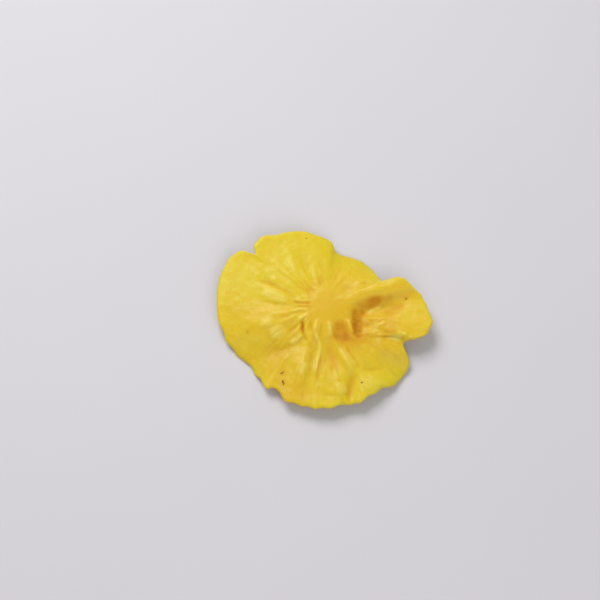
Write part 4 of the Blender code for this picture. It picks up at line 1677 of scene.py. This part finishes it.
@dataclass
class FibreStrands:
    """Thin tough fibres that run out from the core and stand just proud of the flesh."""

    count: int = 90
    points: int = 22
    first_side: float = 205.0
    last_side: float = 345.0
    inner: float = 0.0110
    outer: float = 0.0440
    shortest: float = 0.0050
    longest: float = 0.0150
    thickness: float = 0.00006
    sway: float = 0.0011
    sway_scale: float = 150.0
    sides: int = 5
    seed: int = 8
    finish: FibreFinish = field(default_factory=FibreFinish)

    def build(self, surface: bpy.types.Object) -> bpy.types.Object:
        """Lays the fibres on the slice.

        Args:
            surface: The slice that they lie on.

        Returns:
            The fibres as one piece.
        """
        tree = Grower("fibres")
        ground = tree.ground(tree.named("Surface", "NodeSocketObject", surface))
        count = tree.named("Count", "NodeSocketInt", self.count)
        inner = tree.named("Inner", "NodeSocketFloat", self.inner)
        outer = tree.named("Outer", "NodeSocketFloat", self.outer)
        thickness = tree.named("Thickness", "NodeSocketFloat", self.thickness)
        sway = tree.named("Sway", "NodeSocketFloat", self.sway)
        seed = tree.named("Seed", "NodeSocketInt", self.seed)
        turn = tree.chance(math.radians(self.first_side), math.radians(self.last_side), seed)
        start = inner + (outer - inner) * tree.chance(0.0, 1.0, seed + 1)
        length = tree.chance(self.shortest, self.longest, seed + 2)
        place = tree.wire(
            "ShaderNodeVectorRotate", {"rotation_type": "Z_AXIS"},
            {"Vector": tree.vector(start), "Angle": turn},
        )
        starts = tree.wire("GeometryNodePoints", {}, {"Count": count, "Position": place})
        line = tree.wire("GeometryNodeCurvePrimitiveLine", {}, {"End": (1.0, 0.0, 0.0)})
        line = tree.wire("GeometryNodeResampleCurve", {}, {"Curve": line, "Count": self.points})
        lines = tree.wire(
            "GeometryNodeInstanceOnPoints", {},
            {"Points": starts, "Instance": line, "Rotation": tree.vector(0.0, 0.0, turn),
             "Scale": tree.vector(length, 1.0, 1.0)},
        )
        lines = tree.wire("GeometryNodeRealizeInstances", {}, {"Geometry": lines})
        lines = tree.crumpled(lines, sway, self.sway_scale)
        drop = tree.dropped(ground)
        missed = tree.wire("FunctionNodeBooleanMath", {"operation": "NOT"}, {0: drop.hit})
        lines = tree.wire(
            "GeometryNodeDeleteGeometry", {"domain": "POINT"}, {"Geometry": lines, "Selection": missed},
        )
        lines = tree.wire("GeometryNodeSetPosition", {}, {"Geometry": lines, "Position": drop.place})
        share = tree.wire("GeometryNodeSplineParameter", {}, {}, "Factor")
        taper = (share * (1.0 - share) * 4.0) ** 0.5
        lines = tree.wire("GeometryNodeSetCurveRadius", {}, {"Curve": lines, "Radius": taper})
        ring = tree.wire(
            "GeometryNodeCurvePrimitiveCircle", {"mode": "RADIUS"},
            {"Resolution": self.sides, "Radius": thickness},
        )
        strands = tree.wire(
            "GeometryNodeCurveToMesh", {}, {"Curve": lines, "Profile Curve": ring, "Fill Caps": True},
        )
        return tree.grow(bpy.data.meshes.new("fibres"), strands, self.finish.material())


@dataclass
class Studio:
    """The table, the soft lights and the camera at the photograph's angle."""

    table_finish: TableFinish = field(default_factory=TableFinish)
    table_side: float = 6.0
    pixel: float = 0.42e-3
    pixels: int = 600
    core_pixel: tuple[float, float] = (322.0, 303.0)
    elevation: float = 72.0
    lens: float = 200.0
    sensor: float = 36.0
    sky: Colour = (0.92, 0.91, 0.93)
    sky_strength: float = 0.35
    lights: tuple[tuple[str, tuple[float, float, float], float, float], ...] = (
        ("window", (-0.30, 0.58, 0.80), 7.2, 0.55),
        ("bounce", (0.30, -0.70, 0.75), 3.8, 0.9),
    )

    def table(self) -> bpy.types.Object:
        """The table top, level with the slice's rest."""
        half = 0.5 * self.table_side
        corners = [(-half, -half, 0.0), (half, -half, 0.0), (half, half, 0.0), (-half, half, 0.0)]
        mesh = bpy.data.meshes.new("table")
        mesh.from_pydata(corners, [], [(0, 1, 2, 3)])
        mesh.materials.append(self.table_finish.material())
        table = bpy.data.objects.new("table", mesh)
        bpy.context.scene.collection.objects.link(table)
        return table

    def light(self) -> None:
        """Adds the soft lights and the sky."""
        for name, place, power, side in self.lights:
            lamp = bpy.data.lights.new(name, "AREA")
            lamp.energy = power
            lamp.size = side
            holder = bpy.data.objects.new(name, lamp)
            holder.location = place
            holder.rotation_euler = (-Vector(place)).to_track_quat("-Z", "Y").to_euler()
            bpy.context.scene.collection.objects.link(holder)
        world = bpy.data.worlds.new("sky")
        world.use_nodes = True
        background = world.node_tree.nodes["Background"]
        background.inputs["Color"].default_value = (*self.sky, 1.0)
        background.inputs["Strength"].default_value = self.sky_strength
        bpy.context.scene.world = world

    def shoot(self, core_top: float) -> None:
        """Sets the camera so that the slice lies in the picture where the photograph has it."""
        tilt = math.radians(self.elevation)
        up = Vector((0.0, math.sin(tilt), math.cos(tilt)))
        back = Vector((0.0, -math.cos(tilt), math.sin(tilt)))
        middle = 0.5 * self.pixels
        aim = Vector(((middle - self.core_pixel[0]) * self.pixel, 0.0, core_top))
        aim += up * (self.core_pixel[1] - middle) * self.pixel
        distance = self.pixels * self.pixel * self.lens / self.sensor
        camera = bpy.data.objects.new("camera", bpy.data.cameras.new("camera"))
        camera.data.lens = self.lens
        camera.data.sensor_width = self.sensor
        camera.location = aim + back * distance
        camera.rotation_euler = (0.5 * math.pi - tilt, 0.0, 0.0)
        bpy.context.scene.collection.objects.link(camera)
        bpy.context.scene.camera = camera

    def build(self, core_top: float) -> None:
        """Makes the whole studio."""
        self.table()
        self.light()
        self.shoot(core_top)
        bpy.context.scene.view_settings.view_transform = "Standard"


def report(pieces: Sequence[bpy.types.Object]) -> None:
    """Logs each piece with its number of triangles."""
    for piece in pieces:
        triangles = sum(len(face.vertices) - 2 for face in piece.data.polygons)
        LOG.info("%s: %d triangles", piece.name, triangles)


def main() -> None:
    """Builds the slice and the studio, and reports the pieces."""
    logging.basicConfig(level=logging.INFO)
    flesh = FleshSlice()
    body = flesh.build()
    pieces = [body, EyeRemnants().build(body), FibreStrands().build(body)]
    for piece in pieces:
        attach(piece, BODY)
        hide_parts(NODE)
    Studio().build(flesh.form.core_top)
    report(pieces)


if __name__ == "__main__":
    main()
